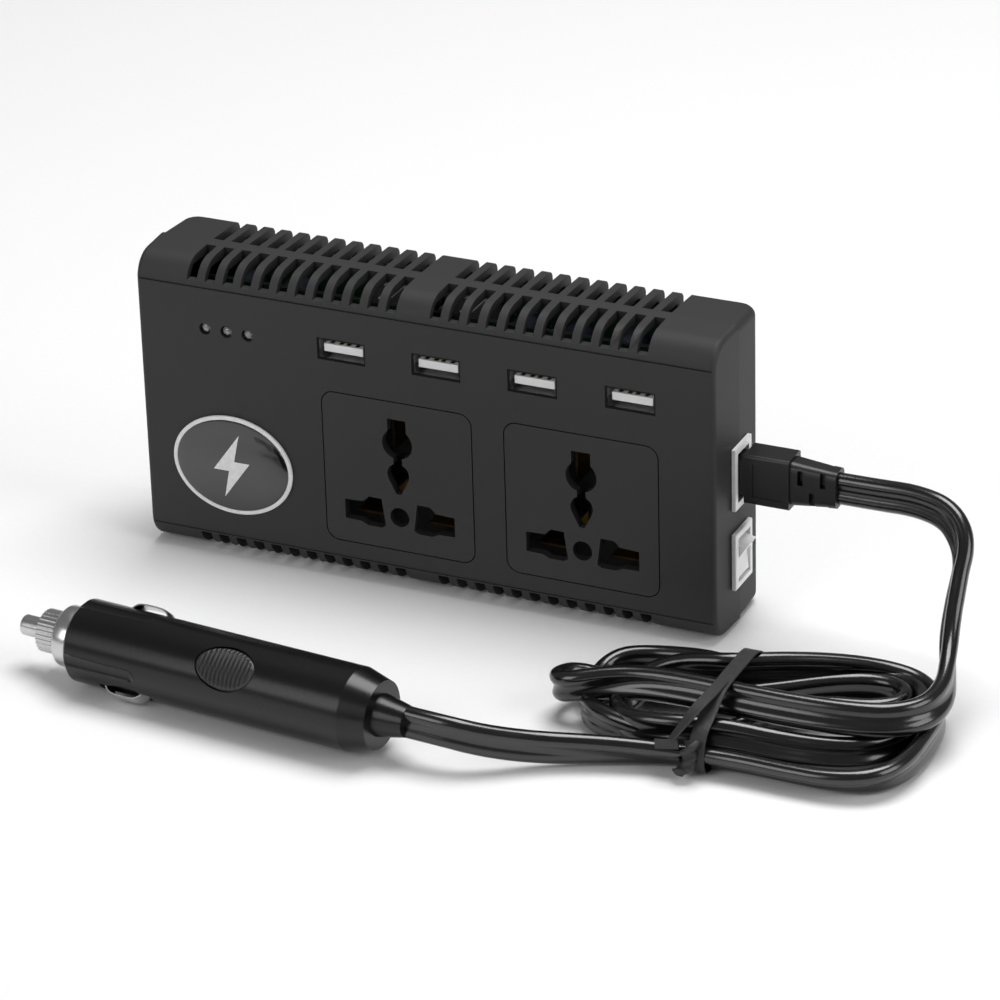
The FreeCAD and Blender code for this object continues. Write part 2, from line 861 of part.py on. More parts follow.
def capacitors():
    """Electrolytic cans standing on the main board."""
    radius, tall = 5.0, 11.0
    cans = [
        Part.makeCylinder(radius, tall, Vector(x, MAIN_BOARD_FACE - tall, z), Vector(0, 1, 0))
        for x, z in CAPACITOR_SPOTS
    ]
    solid_feature("capacitors", Part.makeCompound(cans))


def heat_sink():
    """An aluminium comb on the main board, under the top vents."""
    x0, x1, z0, z1 = -22.0, 12.0, 58.0, 73.0
    comb = block(x0, MAIN_BOARD_FACE - 10, z0, x1, MAIN_BOARD_FACE, z1)
    fins = 6
    pitch = (x1 - x0) / fins
    for i in range(fins):
        left = x0 + i * pitch + 1.6
        gap = block(
            left, MAIN_BOARD_FACE - 11, z0 - 1, left + pitch - 3.2, MAIN_BOARD_FACE - 2, z1 + 1
        )
        comb = comb.cut(gap)
    solid_feature("heat_sink", comb)


def power_transistors():
    """Flat packages clamped below the heat sink."""
    packs = []
    for x in (-20.0, -8.5, 3.0):
        packs.append(block(x, MAIN_BOARD_FACE - 4.6, 42, x + 10, MAIN_BOARD_FACE, 57.5))
    solid_feature("power_transistors", Part.makeCompound(packs))


# ---------------------------------------------------------------- connector on the lead

NOSE = {"start": 73.4, "half_y": 3.1, "low": 36.9, "high": 47.3, "chamfer": 1.5}


def connector_body():
    """The moulded connector: a chamfered nose that goes into the inlet and a square grip."""
    half = size("connector_width") / 2
    middle = size("inlet_height") + 0.4
    tall = size("connector_tall") / 2
    start, end = size("connector_start"), size("connector_end")
    grip = block(start, -half, middle - tall, end, half, middle + tall)
    grip = grip.makeFillet(0.8, [e for e in grip.Edges if lies_along(e, Vector(1, 0, 0))])
    for side in (-1, 1):
        recess = block(
            start + 2.2, half - 0.35, middle - tall + 2.2, end - 2.2, half + 1, middle + tall - 2.2
        )
        if side < 0:
            recess.rotate(Vector(0, 0, 0), Vector(0, 0, 1), 180)
            recess.translate(Vector(start + end, 0, 0))
        grip = grip.cut(recess)
    nose = block(
        NOSE["start"], -NOSE["half_y"], NOSE["low"], start + 0.5, NOSE["half_y"], NOSE["high"]
    )
    upper = [
        e for e in nose.Edges if lies_along(e, Vector(1, 0, 0)) and e.CenterOfMass.z > middle
    ]
    nose = nose.makeChamfer(NOSE["chamfer"], upper)
    body = grip.fuse(nose)
    for level in CONTACT_LEVELS:
        body = body.cut(rod(NOSE["start"] - 1, start + 4, 1.7, 0, level))
    solid_feature("connector_body", body.removeSplitter())


def connector_contacts():
    """Two brass sleeves inside the nose, which slide over the inlet's pins."""
    start, end = NOSE["start"] + 0.3, size("connector_start") + 4
    sleeves = [
        rod(start, end, 1.6, 0, level).cut(rod(start - 1, end - 0.8, 1.15, 0, level))
        for level in CONTACT_LEVELS
    ]
    solid_feature("connector_contacts", Part.makeCompound(sleeves))


def upright_oblong(x, half_y, half_z, middle):
    """A rounded rectangle across the lead, as a closed wire."""
    box = block(x, -half_y, middle - half_z, x + 1, half_y, middle + half_z)
    box = box.makeFillet(half_y * 0.6, [e for e in box.Edges if lies_along(e, Vector(1, 0, 0))])
    face = [f for f in box.Faces if abs(f.CenterOfMass.x - x) < 0.001][0]
    return face.OuterWire


def connector_strain_relief():
    """A tapered sleeve with staggered slots on both sides and a collar where the cord leaves."""
    middle = size("inlet_height") + 0.4
    x0, x1 = size("connector_end"), size("relief_end")
    sleeve = Part.makeLoft(
        [upright_oblong(x0, 3.5, 5.9, middle), upright_oblong(x1, 2.9, 4.7, middle)], True
    )
    collar = Part.makeLoft(
        [upright_oblong(x1 - 2, 3.2, 5.0, middle), upright_oblong(x1, 3.1, 4.9, middle)], True
    )
    sleeve = sleeve.fuse(collar)
    slots = ((2.0, 0.5, 4.4), (5.0, -7.0, -1.2), (7.8, 0.5, 4.4))
    for side in (-1, 1):
        for shift, low, high in slots:
            y0, y1 = sorted((side * 1.6, side * 5))
            sleeve = sleeve.cut(
                block(x0 + shift, y0, middle + low, x0 + shift + 1.4, y1, middle + high)
            )
    solid_feature("connector_strain_relief", sleeve.removeSplitter())


# ---------------------------------------------------------------- cord

# The drop: out of the relief, over in one bend, down and forward onto the top of the hank.
DROP_ROUTE = [
    (106.5, 0.0, 41.9),
    (116.5, 0.0, 41.9),
    (127.5, -1.6, 43.0),
    (137.0, -4.4, 42.0),
    (142.4, -9.0, 36.2),
    (142.6, -15.8, 28.0),
    (143.4, -22.6, 20.6),
    (146.0, -30.5, 15.4),
    (148.6, -39.6, 13.0),
    (147.4, -49.2, 12.4),
]
# The tail: from under the tie, forward along the ground and up into the plug's sleeve.
TAIL_ROUTE = [
    (99.0, -73.6, 3.5),
    (87.0, -76.4, 3.8),
    (75.0, -80.6, 4.1),
    (63.0, -86.4, 5.0),
    (52.5, -92.8, 7.8),
    (43.0, -96.3, 10.5),
    (33.55, -95.48, 10.5),
]


def rounded_path(points, label):
    """Straight runs joined by tangent arcs, each as large as its two runs allow."""
    share = 0.45
    nodes = [Vector(*p) for p in points]
    edges = []
    at = nodes[0]
    radii = []
    for before, corner, after in zip(nodes, nodes[1:], nodes[2:]):
        into = (corner - before).normalize()
        out = (after - corner).normalize()
        turn = into.getAngle(out)
        cut = share * min((corner - before).Length, (after - corner).Length)
        radii.append(cut / math.tan(turn / 2))
        start = corner - into * cut
        end = corner + out * cut
        inward = (out - into).normalize()
        centre_distance = radii[-1] / math.cos(turn / 2)
        centre = corner + inward * centre_distance
        middle = centre - inward * radii[-1]
        edges.append(Part.LineSegment(at, start).toShape())
        edges.append(Part.Arc(start, middle, end).toShape())
        at = end
    edges.append(Part.LineSegment(at, nodes[-1]).toShape())
    wire = Part.Wire(edges)
    print(label, "length", round(wire.Length, 1), "radii", [round(r, 1) for r in radii])
    return wire


def cord_tube(label, points):
    """One stretch of the cord, as a round tube about its centre line."""
    wire = rounded_path(points, label)
    radius = size("cord_tube") / 2
    first = Vector(*points[0])
    ahead = Vector(*points[1]) - first
    section = Part.Wire(Part.Circle(first, ahead, radius).toShape())
    tube = wire.makePipeShell([section], True, False)
    expected = math.pi * radius * radius * wire.Length
    print(label, "volume", round(tube.Volume), "expected", round(expected))
    solid_feature(label, tube)


def prism(corners, z0, z1):
    """A solid over a plan outline, between two heights."""
    points = [Vector(x, y, z0) for x, y in corners]
    face = Part.Face(Part.makePolygon(points + points[:1]))
    return face.extrude(Vector(0, 0, z1 - z0))


# The hank in plan: a lower layer of upright strands that fans out at both ends of the tie,
# and an upper layer where the first and the last turns lie on top of it.
LOWER_OUTLINE = [
    (61.8, -57.0),
    (63.2, -66.0),
    (70.0, -70.8),
    (79.0, -73.0),
    (96.0, -76.0),
    (104.0, -76.2),
    (121.0, -76.7),
    (134.0, -76.7),
    (144.5, -73.0),
    (149.0, -62.0),
    (149.6, -50.0),
    (149.0, -38.0),
    (145.4, -28.4),
    (137.0, -21.6),
    (128.0, -21.8),
    (117.0, -25.8),
    (104.0, -36.9),
    (96.0, -36.9),
    (87.0, -32.2),
    (75.0, -31.6),
    (64.5, -35.0),
    (60.5, -44.5),
]
UPPER_OUTLINE = [
    (54.5, -55.0),
    (54.7, -62.0),
    (60.0, -66.0),
    (68.0, -63.4),
    (78.0, -62.4),
    (96.0, -63.0),
    (104.0, -63.0),
    (131.0, -61.6),
    (142.0, -58.6),
    (149.4, -51.0),
    (151.0, -40.0),
    (147.0, -31.0),
    (128.0, -23.0),
    (117.0, -27.5),
    (104.0, -39.5),
    (96.0, -39.5),
    (84.0, -43.0),
    (72.0, -46.0),
    (59.0, -49.0),
]
HANK_LAYER = 8.2
HANK_TOP = 16.4


def cord_hank():
    """The outer shape of the tied hank, laid on the ground."""
    lower = prism(LOWER_OUTLINE, 0.05, HANK_LAYER)
    upper = prism(UPPER_OUTLINE, HANK_LAYER - 0.5, HANK_TOP)
    solid_feature("cord_hank", lower.fuse(upper).removeSplitter())


# The inside of the tie's band, across the lead: depth and height of each corner.
TIE_INSIDE = [
    (-77.0, 0.85),
    (-77.0, 8.4),
    (-63.4, 16.7),
    (-39.2, 16.7),
    (-36.6, 8.4),
    (-36.6, 0.85),
]


def twist_tie():
    """A flat paper-covered wire round the waist of the hank, its ends twisted together."""
    x0, x1 = 98.0, 102.0
    thick = 0.8
    corners = [Vector(x0, y, z) for y, z in TIE_INSIDE]
    inside = Part.makePolygon(corners + corners[:1])
    width = Vector(x1 - x0, 0, 0)
    outer = Part.Face(inside.makeOffset2D(thick)).extrude(width)
    band = outer.cut(Part.Face(inside).extrude(width))
    knot, foot = Vector(99.5, -74.6, 10.2), Vector(98.2, -79.4, 2.6)
    along = foot - knot
    twist = Part.makeCone(2.1, 1.6, along.Length, knot, along)
    solid_feature("twist_tie", band.fuse(twist).removeSplitter())


# ---------------------------------------------------------------- car plug

# Built along its own axis: x = 0 is the front of the body, +x runs back to the cord, the two
# side contacts face +z and -z and the two grips face -y and +y.


def plug_place():
    heading = Rotation(Vector(0, 0, 1), size("plug_heading"))
    roll = Rotation(Vector(1, 0, 0), -size("plug_roll"))
    return Placement(
        Vector(size("plug_x"), size("plug_y"), size("plug_radius")), heading.multiply(roll)
    )


CONTACT_SLOT = {"start": 9.4, "end": 24.4, "half_width": 2.7, "floor": 6.4}
GRIP = {"middle": 46.0, "half_length": 8.2, "half_width": 5.5, "depth": 0.5}
BODY_END = 74.0


def grip_outline(extra):
    """An oval cylinder right through the plug, where the two grips sit."""
    centre = Vector(GRIP["middle"], -20, 0)
    curve = Part.Ellipse(
        centre + Vector(GRIP["half_length"] + extra, 0, 0),
        centre + Vector(0, 0, GRIP["half_width"] + extra),
        centre,
    )
    return Part.Face(Part.Wire(curve.toShape())).extrude(Vector(0, 40, 0))


def plug_body():
    """The handle: bored for the fuse, slotted for the side contacts and fluted at the front."""
    radius = size("plug_radius")
    body = rod(0, BODY_END, radius)
    front_edge = [e for e in body.Edges if e.CenterOfMass.x < 0.01 and e.Closed]
    body = body.makeChamfer(0.8, front_edge)
    body = body.cut(rod(-1, 42, size("fuse_bore")))
    body = body.cut(rod(41, BODY_END + 1, 2.2))
    slot = CONTACT_SLOT
    for side in (-1, 1):
        z0, z1 = sorted((side * slot["floor"], side * (radius + 2)))
        body = body.cut(
            block(slot["start"], -slot["half_width"], z0, slot["end"], slot["half_width"], z1)
        )
    flute_radius, flute_end, flute_depth = 3.2, 19.0, 0.7
    for turn in (45, 135, 225, 315):
        reach = radius + flute_radius - flute_depth
        y = reach * math.cos(math.radians(turn))
        z = reach * math.sin(math.radians(turn))
        body = body.cut(rod(-1, flute_end, flute_radius, y, z))
        body = body.cut(Part.makeSphere(flute_radius, Vector(flute_end, y, z)))
    seat = grip_outline(0.1).cut(rod(0, BODY_END, radius - GRIP["depth"]))
    solid_feature("plug_body", body.cut(seat), plug_place())


def plug_grips():
    """Two oval ribbed pads let into the sides of the handle."""
    radius = size("plug_radius")
    skin = rod(0, BODY_END, radius + 0.3).cut(rod(0, BODY_END, radius - GRIP["depth"] + 0.02))
    pads = grip_outline(0).common(skin)
    solid_feature("plug_grips", pads, plug_place())


def plug_rear_cap():
    """The tapered end of the handle, bored for the cord's sleeve."""
    radius = size("plug_radius")
    straight = rod(BODY_END, size("plug_length"), radius)
    taper = Part.makeCone(
        radius,
        8.6,
        size("plug_taper_end") - size("plug_length"),
        Vector(size("plug_length"), 0, 0),
        Vector(1, 0, 0),
    )
    cap = straight.fuse(taper).cut(rod(BODY_END - 1, size("plug_taper_end") + 1, 2.9))
    solid_feature("plug_rear_cap", cap.removeSplitter(), plug_place())


def plug_strain_relief():
    """The short sleeve through the cap that holds the cord."""
    start, end = size("plug_taper_end"), size("plug_sleeve_end")
    sleeve = Part.makeCone(5.4, 3.9, end - start, Vector(start, 0, 0), Vector(1, 0, 0))
    root = rod(BODY_END + 0.5, start, 2.8)
    solid_feature("plug_strain_relief", sleeve.fuse(root).removeSplitter(), plug_place())


def plug_collar():
    """The plated collar at the front of the handle."""
    collar = rod(-5.6, 0, 7.75)
    front_edge = [e for e in collar.Edges if e.CenterOfMass.x < -5.5 and e.Closed]
    collar = collar.makeChamfer(0.9, front_edge)
    collar = collar.cut(rod(-7, 1, 4.4))
    solid_feature("plug_collar", collar, plug_place())


def plug_fuse_nut():
    """The knurled nut that unscrews to change the fuse; the tip comes out through it."""
    nut = rod(-11.2, -5.6, 5.5).fuse(rod(-5.6, -1.0, 4.3))
    teeth, depth = 30, 0.35
    for i in range(teeth):
        turn = 2 * math.pi * i / teeth
        y, z = 5.75 * math.cos(turn), 5.75 * math.sin(turn)
        nut = nut.cut(rod(-12, -6.3, depth + 0.1, y, z))
    nut = nut.cut(rod(-12, -8.4, 3.0)).cut(rod(-8.4, 0, size("fuse_bore")))
    solid_feature("plug_fuse_nut", nut.removeSplitter(), plug_place())


def plug_tip():
    """The centre contact, pushed forward by the spring behind the fuse."""
    pin = rod(-18.0, -6.0, 2.65)
    tip_edge = [e for e in pin.Edges if e.CenterOfMass.x < -17.9 and e.Closed]
    pin = pin.makeFillet(0.7, tip_edge)
    flange = rod(-8.0, -6.0, 3.2)
    solid_feature("plug_tip", pin.fuse(flange).removeSplitter(), plug_place())


def plug_fuse():
    """A glass fuse with two end caps, between the tip and the spring."""
    start = -5.9
    radius, length = size("fuse_radius"), size("fuse_length")
    tube = rod(start + 0.1, start + length - 0.1, radius - 0.2)
    caps = rod(start, start + 6, radius).fuse(rod(start + length - 6, start + length, radius))
    solid_feature("plug_fuse", tube.fuse(caps).removeSplitter(), plug_place())


def plug_spring():
    """The coil spring at the bottom of the fuse bore."""
    start, pitch, turns, radius, wire = 24.8, 2.2, 5, 2.5, 0.35
    helix = Part.makeHelix(pitch, pitch * turns, radius)
    section = Part.Wire(Part.Circle(Vector(radius, 0, 0), Vector(0, 1, 0), wire).toShape())
    spring = Part.Wire(helix.Edges).makePipeShell([section], True, True)
    spring.rotate(Vector(0, 0, 0), Vector(0, 1, 0), 90)
    spring.translate(Vector(start, 0, 0))
    solid_feature("plug_spring", Part.makeCompound([spring]), plug_place())


def side_contact(label, side):
    """A bowed spring strip that presses on the socket's wall."""
    crest, foot, thick, half_width = 12.0, 8.2, 0.5, 2.3
    line = [(10.2, foot), (12.2, crest), (20.6, crest), (22.6, foot)]
    inner = [(22.0, foot), (20.2, crest - thick), (12.6, crest - thick), (10.8, foot)]
    points = [Vector(x, -half_width, side * z) for x, z in line + inner]
    strip = Part.Face(Part.makePolygon(points + points[:1])).extrude(Vector(0, 2 * half_width, 0))
    solid_feature(label, strip, plug_place())


# ---------------------------------------------------------------- assembly

front_shell()
rear_shell()
case_screws()
for label, middle in (("left", "socket_left"), ("right", "socket_right")):
    socket_face(f"socket_face_{label}", middle)
    socket_contacts(f"socket_contacts_{label}", middle)
    socket_base(f"socket_base_{label}", middle)
for index in range(4):
    usb_shell(index)
    usb_tongue(index)
usb_contacts()
for index in range(3):
    status_led(index)
badge()
inlet_housing()
inlet_pins()
switch_bezel()
switch_rocker()
switch_terminals()
front_board()
main_board()
transformer()
capacitors()
heat_sink()
power_transistors()
connector_body()
connector_contacts()
connector_strain_relief()
cord_tube("cord_drop", DROP_ROUTE)
cord_hank()
cord_tube("cord_tail", TAIL_ROUTE)
twist_tie()
plug_body()
plug_grips()
plug_rear_cap()
plug_strain_relief()
plug_collar()
plug_fuse_nut()
plug_tip()
plug_fuse()
plug_spring()
side_contact("side_contact_upper", 1)
side_contact("side_contact_lower", -1)

doc.recompute()
for obj in doc.Objects:
    if "Invalid" in obj.State or "Error" in obj.State:
        raise RuntimeError(f"{obj.Label} ({obj.Name}) failed: {obj.State}")
os.makedirs("parts", exist_ok=True)
for obj in PARTS:
    shape = obj.Shape
    if shape.isNull() or not shape.isValid():
        raise RuntimeError(f"{obj.Label} has no valid shape")
    shape.exportStep(f"parts/{obj.Label}.step")
    print(obj.Label, len(shape.Solids), "solids", round(shape.Volume, 1), shape.BoundBox)
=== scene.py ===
import math
import bpy
from mathutils import Matrix, Vector


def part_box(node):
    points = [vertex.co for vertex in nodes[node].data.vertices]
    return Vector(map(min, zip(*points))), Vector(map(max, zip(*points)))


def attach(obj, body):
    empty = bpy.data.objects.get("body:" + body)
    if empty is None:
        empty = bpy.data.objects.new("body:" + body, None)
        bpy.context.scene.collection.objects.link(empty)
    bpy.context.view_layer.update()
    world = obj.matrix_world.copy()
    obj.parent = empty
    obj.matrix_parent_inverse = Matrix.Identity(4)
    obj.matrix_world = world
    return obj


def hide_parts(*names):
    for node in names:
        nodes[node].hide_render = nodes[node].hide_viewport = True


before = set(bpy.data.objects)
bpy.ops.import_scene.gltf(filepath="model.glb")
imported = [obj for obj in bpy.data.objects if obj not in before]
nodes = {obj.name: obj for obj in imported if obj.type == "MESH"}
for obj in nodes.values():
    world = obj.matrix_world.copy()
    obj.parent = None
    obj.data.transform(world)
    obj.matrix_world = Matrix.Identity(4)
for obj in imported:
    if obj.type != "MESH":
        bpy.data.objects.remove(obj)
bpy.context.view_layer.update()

# ---------------------------------------------------------------- view, light and floor
# A low three-quarter view from the right, on a plain white sheet, under large soft boxes: one
# overhead, one at the right that lights the end with the inlet, and one at the front.

camera = bpy.data.objects.new("camera", bpy.data.cameras.new("camera"))
LENS = 174.27
VIEW_HEADING, VIEW_PITCH, VIEW_ROLL = 25.297, -26.354, 1.651
VIEW_PLACE = (0.48569, -0.99747, 0.56840)
camera.data.lens = LENS
camera.data.sensor_width = 36.0
camera.data.clip_start = 0.05
turned = Matrix.Rotation(math.radians(VIEW_HEADING), 4, "Z")
tipped = Matrix.Rotation(math.radians(VIEW_PITCH), 4, "X")
rolled = Matrix.Rotation(math.radians(VIEW_ROLL), 4, "Y")
camera.matrix_world = (
    Matrix.Translation(VIEW_PLACE)
    @ turned
    @ tipped
    @ rolled
    @ Matrix.Rotation(math.radians(90), 4, "X")
)
bpy.context.scene.collection.objects.link(camera)
bpy.context.scene.camera = camera


def soft_box(name, place, aim, width, power):
    """A square soft light at a place, turned towards a point."""
    lamp = bpy.data.lights.new(name, "AREA")
    lamp.size = width
    lamp.energy = power
    light = bpy.data.objects.new(name, lamp)
    light.location = place
    away = Vector(place) - Vector(aim)
    light.rotation_euler = away.to_track_quat("Z", "Y").to_euler()
    bpy.context.scene.collection.objects.link(light)


middle = (0.0, -0.02, 0.04)
soft_box("overhead_light", (0.1, 0.25, 1.25), middle, 0.75, 14.0)
soft_box("right_light", (1.1, -0.1, 0.6), middle, 0.7, 5.0)
soft_box("front_light", (-0.5, -1.3, 0.7), middle, 0.8, 6.0)

world = bpy.data.worlds.new("studio")
world.use_nodes = True
world.node_tree.nodes["Background"].inputs["Color"].default_value = (1.0, 1.0, 1.0, 1.0)
world.node_tree.nodes["Background"].inputs["Strength"].default_value = 0.2
bpy.context.scene.world = world
bpy.context.scene.view_settings.view_transform = "Standard"


class Field:
    """A value that varies over a surface, held as the socket that gives it."""

    def __init__(self, socket):
        self.socket = socket

    def work_out(self, operation, *values):
        node = self.socket.id_data.nodes.new("ShaderNodeMath")
        node.operation = operation
        for entry, value in zip(node.inputs, values):
            feed(entry, value)
        return Field(node.outputs[0])

    def __add__(self, other):
        return self.work_out("ADD", self, other)

    def __sub__(self, other):
        return self.work_out("SUBTRACT", self, other)

    def __rsub__(self, other):
        return self.work_out("SUBTRACT", other, self)

    def __mul__(self, other):
        return self.work_out("MULTIPLY", self, other)

    def __gt__(self, other):
        return self.work_out("GREATER_THAN", self, other)

    def __lt__(self, other):
        return self.work_out("LESS_THAN", self, other)

    def __abs__(self):
        return self.work_out("ABSOLUTE", self)

    def sine(self):
        return self.work_out("SINE", self)

    __radd__ = __add__
    __rmul__ = __mul__


def feed(entry, value):
    """Gives a node's input a link, or a constant."""
    if isinstance(value, Field):
        entry.id_data.links.new(value.socket, entry)
    else:
        entry.default_value = value


class Finish:
    """A material; the keywords are constants of its shader, with _ for a space."""

    def __init__(self, name, **constants):
        self.material = bpy.data.materials.new(name)
        self.material.use_nodes = True
        self.tree = self.material.node_tree
        self.shader = self.tree.nodes["Principled BSDF"]
        self.set(**constants)

    def set(self, **values):
        for title, value in values.items():
            feed(self.shader.inputs[title.replace("_", " ")], value)

    def node(self, kind, settings=(), inputs=(), output=0):
        """Any node: its type, then its settings, then its sockets' values or links."""
        node = self.tree.nodes.new("ShaderNode" + kind)
        for name, value in dict(settings).items():
            setattr(node, name, value)
        for title, value in dict(inputs).items():
            feed(node.inputs[title], value)
        return Field(node.outputs[output])

    def place(self):
        """Where a point is on the object, in metres."""
        return self.node("TexCoord", output="Object")

    def along(self, axis):
        """One coordinate of that place."""
        return self.node("SeparateXYZ", inputs={0: self.place()}, output=axis)

    def noise(self, grain, detail=3.0, place=None):
        """Cloudy noise from 0 to 1 with features of about one grain, in metres."""
        inputs = {"Vector": place or self.place(), "Scale": 1 / grain, "Detail": detail}
        return self.node("TexNoise", inputs=inputs)

    def blend(self, share, first, second):
        """Two colours, mixed."""
        settings = {"data_type": "RGBA"}
        return self.node("Mix", settings, {0: share, 6: first, 7: second}, output=2)

    def bump(self, height, depth, under=None):
        """A relief that far from its lowest to its highest, in metres."""
        inputs = {"Height": height, "Distance": depth, "Strength": 1.0}
        if under is not None:
            inputs["Normal"] = under
        return self.node("Bump", inputs=inputs)


def grey(level, warmth=0.0):
    """A neutral colour, slightly warm or cool."""
    return (level * (1 + warmth), level, level * (1 - warmth), 1.0)


bpy.ops.object.select_all(action="DESELECT")
bpy.ops.mesh.primitive_circle_add(
    vertices=96, radius=3.0, fill_type="NGON", location=(0, 0, -0.0006)
)
floor = bpy.context.object
floor.name = "floor"
sheet = Finish("white_sheet", Specular_IOR_Level=0.2)
fibre = sheet.noise(0.0015)
sheet.set(Base_Color=sheet.blend(fibre, grey(0.86), grey(0.90)), Roughness=0.85 + 0.1 * fibre)
floor.data.materials.append(sheet.material)

# ---------------------------------------------------------------- the lead
# A flat twin lead of soft glossy PVC, two round cores side by side with a groove between.  It
# leaves the connector standing on edge, drops onto a tied hank of about seven strands, comes
# out under the tie and ends in the car plug.  Each point is a place and the turn of its flat.

CORE_RADIUS = 0.002025
CORE_SHIFT = 0.002175
GROOVE = 0.0013

LEAD_ROUTE = [
    # out of the connector, over and down onto the hank
    (0.1065, 0.0, 0.0419, 0),
    (0.1165, 0.0, 0.0419, 0),
    (0.1275, -0.0016, 0.043, -3),
    (0.137, -0.0044, 0.042, -8),
    (0.1424, -0.009, 0.0362, -15),
    (0.1426, -0.0158, 0.028, -22),
    (0.1434, -0.0226, 0.0206, -18),
    (0.146, -0.0305, 0.0154, 0),
    (0.1486, -0.0396, 0.013, 15),
    (0.1474, -0.0492, 0.0124, 24),
    # over the top of the hank
    (0.1406, -0.0556, 0.0122, 28),
    (0.1295, -0.0584, 0.0123, 28),
    (0.116, -0.0594, 0.0124, 28),
    (0.102, -0.0594, 0.0125, 28),
    (0.088, -0.0588, 0.0123, 28),
    (0.077, -0.0588, 0.0116, 20),
    (0.068, -0.0608, 0.0106, 0),
    # first loop at the left
    (0.0606, -0.0634, 0.0092, -10),
    (0.0566, -0.0608, 0.008, -10),
    (0.0576, -0.0544, 0.0068, 10),
    (0.0626, -0.0498, 0.0062, 60),
    # under the others to the right
    (0.0685, -0.0474, 0.0046, 80),
    (0.076, -0.0468, 0.0029, 80),
    (0.0845, -0.0478, 0.0032, 55),
    (0.092, -0.0486, 0.0043, 10),
    (0.104, -0.042, 0.0044, 0),
    (0.116, -0.0332, 0.0046, 0),
    (0.1255, -0.0286, 0.0046, 0),
    # first loop at the right, the smallest
    (0.133, -0.0288, 0.0046, 0),
    (0.137, -0.033, 0.0046, 0),
    (0.1348, -0.0384, 0.0044, 0),
    (0.129, -0.0414, 0.0043, 0),
    # back to the left
    (0.119, -0.0432, 0.0043, 0),
    (0.1085, -0.0496, 0.004, -20),
    (0.098, -0.0605, 0.003, -75),
    (0.089, -0.0664, 0.0032, -60),
    (0.08, -0.068, 0.0038, -25),
    # second loop at the left
    (0.0716, -0.0676, 0.0043, 0),
    (0.0656, -0.0634, 0.0043, 0),
    (0.064, -0.0566, 0.0041, -15),
    (0.0636, -0.0496, 0.0028, -75),
    (0.0626, -0.043, 0.0033, -50),
    (0.0654, -0.0374, 0.0042, -10),
    # along the back
    (0.074, -0.0342, 0.0044, 0),
    (0.0865, -0.0344, 0.0058, 0),
    (0.097, -0.0396, 0.0072, 0),
    (0.108, -0.0342, 0.0062, 0),
    (0.119, -0.0274, 0.005, 0),
    (0.1295, -0.0248, 0.0043, 0),
    # second loop at the right
    (0.1376, -0.027, 0.0043, 0),
    (0.1414, -0.0338, 0.0043, 0),
    (0.1424, -0.043, 0.0043, 0),
    (0.141, -0.0524, 0.0043, 10),
    (0.1356, -0.0596, 0.0043, 20),
    # back along the front
    (0.127, -0.0628, 0.0043, 22),
    (0.1155, -0.0644, 0.0046, 22),
    (0.104, -0.0666, 0.0064, 15),
    (0.094, -0.0692, 0.007, 8),
    (0.0858, -0.07, 0.0064, 0),
    # third loop at the left
    (0.0784, -0.0684, 0.0054, 0),
    (0.0732, -0.063, 0.0048, 0),
    (0.0726, -0.0564, 0.0052, -30),
    (0.075, -0.0498, 0.0068, -70),
    (0.0806, -0.046, 0.0086, -30),
    (0.087, -0.0448, 0.0104, 0),
    # along the back, on top
    (0.096, -0.0442, 0.0116, 0),
    (0.107, -0.0368, 0.0106, 0),
    (0.118, -0.0294, 0.0086, 0),
    (0.128, -0.0242, 0.0062, 0),
    # third loop at the right, the outermost
    (0.1366, -0.0238, 0.0048, 0),
    (0.1428, -0.0294, 0.0043, 0),
    (0.1468, -0.039, 0.0043, 0),
    (0.1474, -0.05, 0.0043, 0),
    (0.1468, -0.0614, 0.0042, -12),
    (0.1426, -0.0698, 0.0039, -32),
    (0.133, -0.073, 0.0036, -48),
    # along the front edge
    (0.121, -0.073, 0.0035, -50),
    (0.109, -0.0726, 0.0035, -50),
    # out from under the tie and up into the plug
    (0.099, -0.0736, 0.0035, -48),
    (0.087, -0.0764, 0.0038, -35),
    (0.075, -0.0806, 0.0041, -15),
    (0.063, -0.0864, 0.005, 0),
    (0.0525, -0.0928, 0.0078, 0),
    (0.043, -0.0963, 0.0105, 0),
    (0.03355, -0.09548, 0.0105, 0),
]


def line(name, points, closed=False, kind="NURBS"):
    """A curve through or near the points; a fourth number turns its section, in degrees."""
    curve = bpy.data.curves.new(name, "CURVE")
    curve.dimensions = "3D"
    spline = curve.splines.new(kind)
    spline.points.add(len(points) - 1)
    for point, (x, y, z, *turn) in zip(spline.points, points):
        point.co = (x, y, z, 1.0)
        point.tilt = math.radians(turn[0]) if turn else 0.0
    spline.use_cyclic_u = closed
    if kind == "NURBS":
        spline.order_u = 3
        spline.use_endpoint_u = not closed
    piece = bpy.data.objects.new(name, curve)
    bpy.context.scene.collection.objects.link(piece)
    return piece


def centre_line(curve):
    """The points that a curve passes through, read from it before it gets its section."""
    drawn = bpy.data.meshes.new_from_object(curve)
    points = [vertex.co.copy() for vertex in drawn.vertices]
    bpy.data.meshes.remove(drawn)
    return points


def swept(curve, section, upright=True):
    """Draws a flat section along a curve and makes the result a mesh with closed ends."""
    outline = line("section", [(x, y, 0.0) for x, y in section], closed=True, kind="POLY")
    curve.data.twist_mode = "Z_UP" if upright else "MINIMUM"
    curve.data.bevel_mode = "OBJECT"
    curve.data.bevel_object = outline
    curve.data.use_fill_caps = True
    select_only(curve)
    bpy.ops.object.convert(target="MESH")
    bpy.data.objects.remove(outline)
    bpy.ops.object.mode_set(mode="EDIT")
    bpy.ops.mesh.select_all(action="SELECT")
    bpy.ops.mesh.remove_doubles(threshold=1e-6)
    bpy.ops.mesh.normals_make_consistent(inside=False)
    bpy.ops.object.mode_set(mode="OBJECT")
    return bpy.context.object


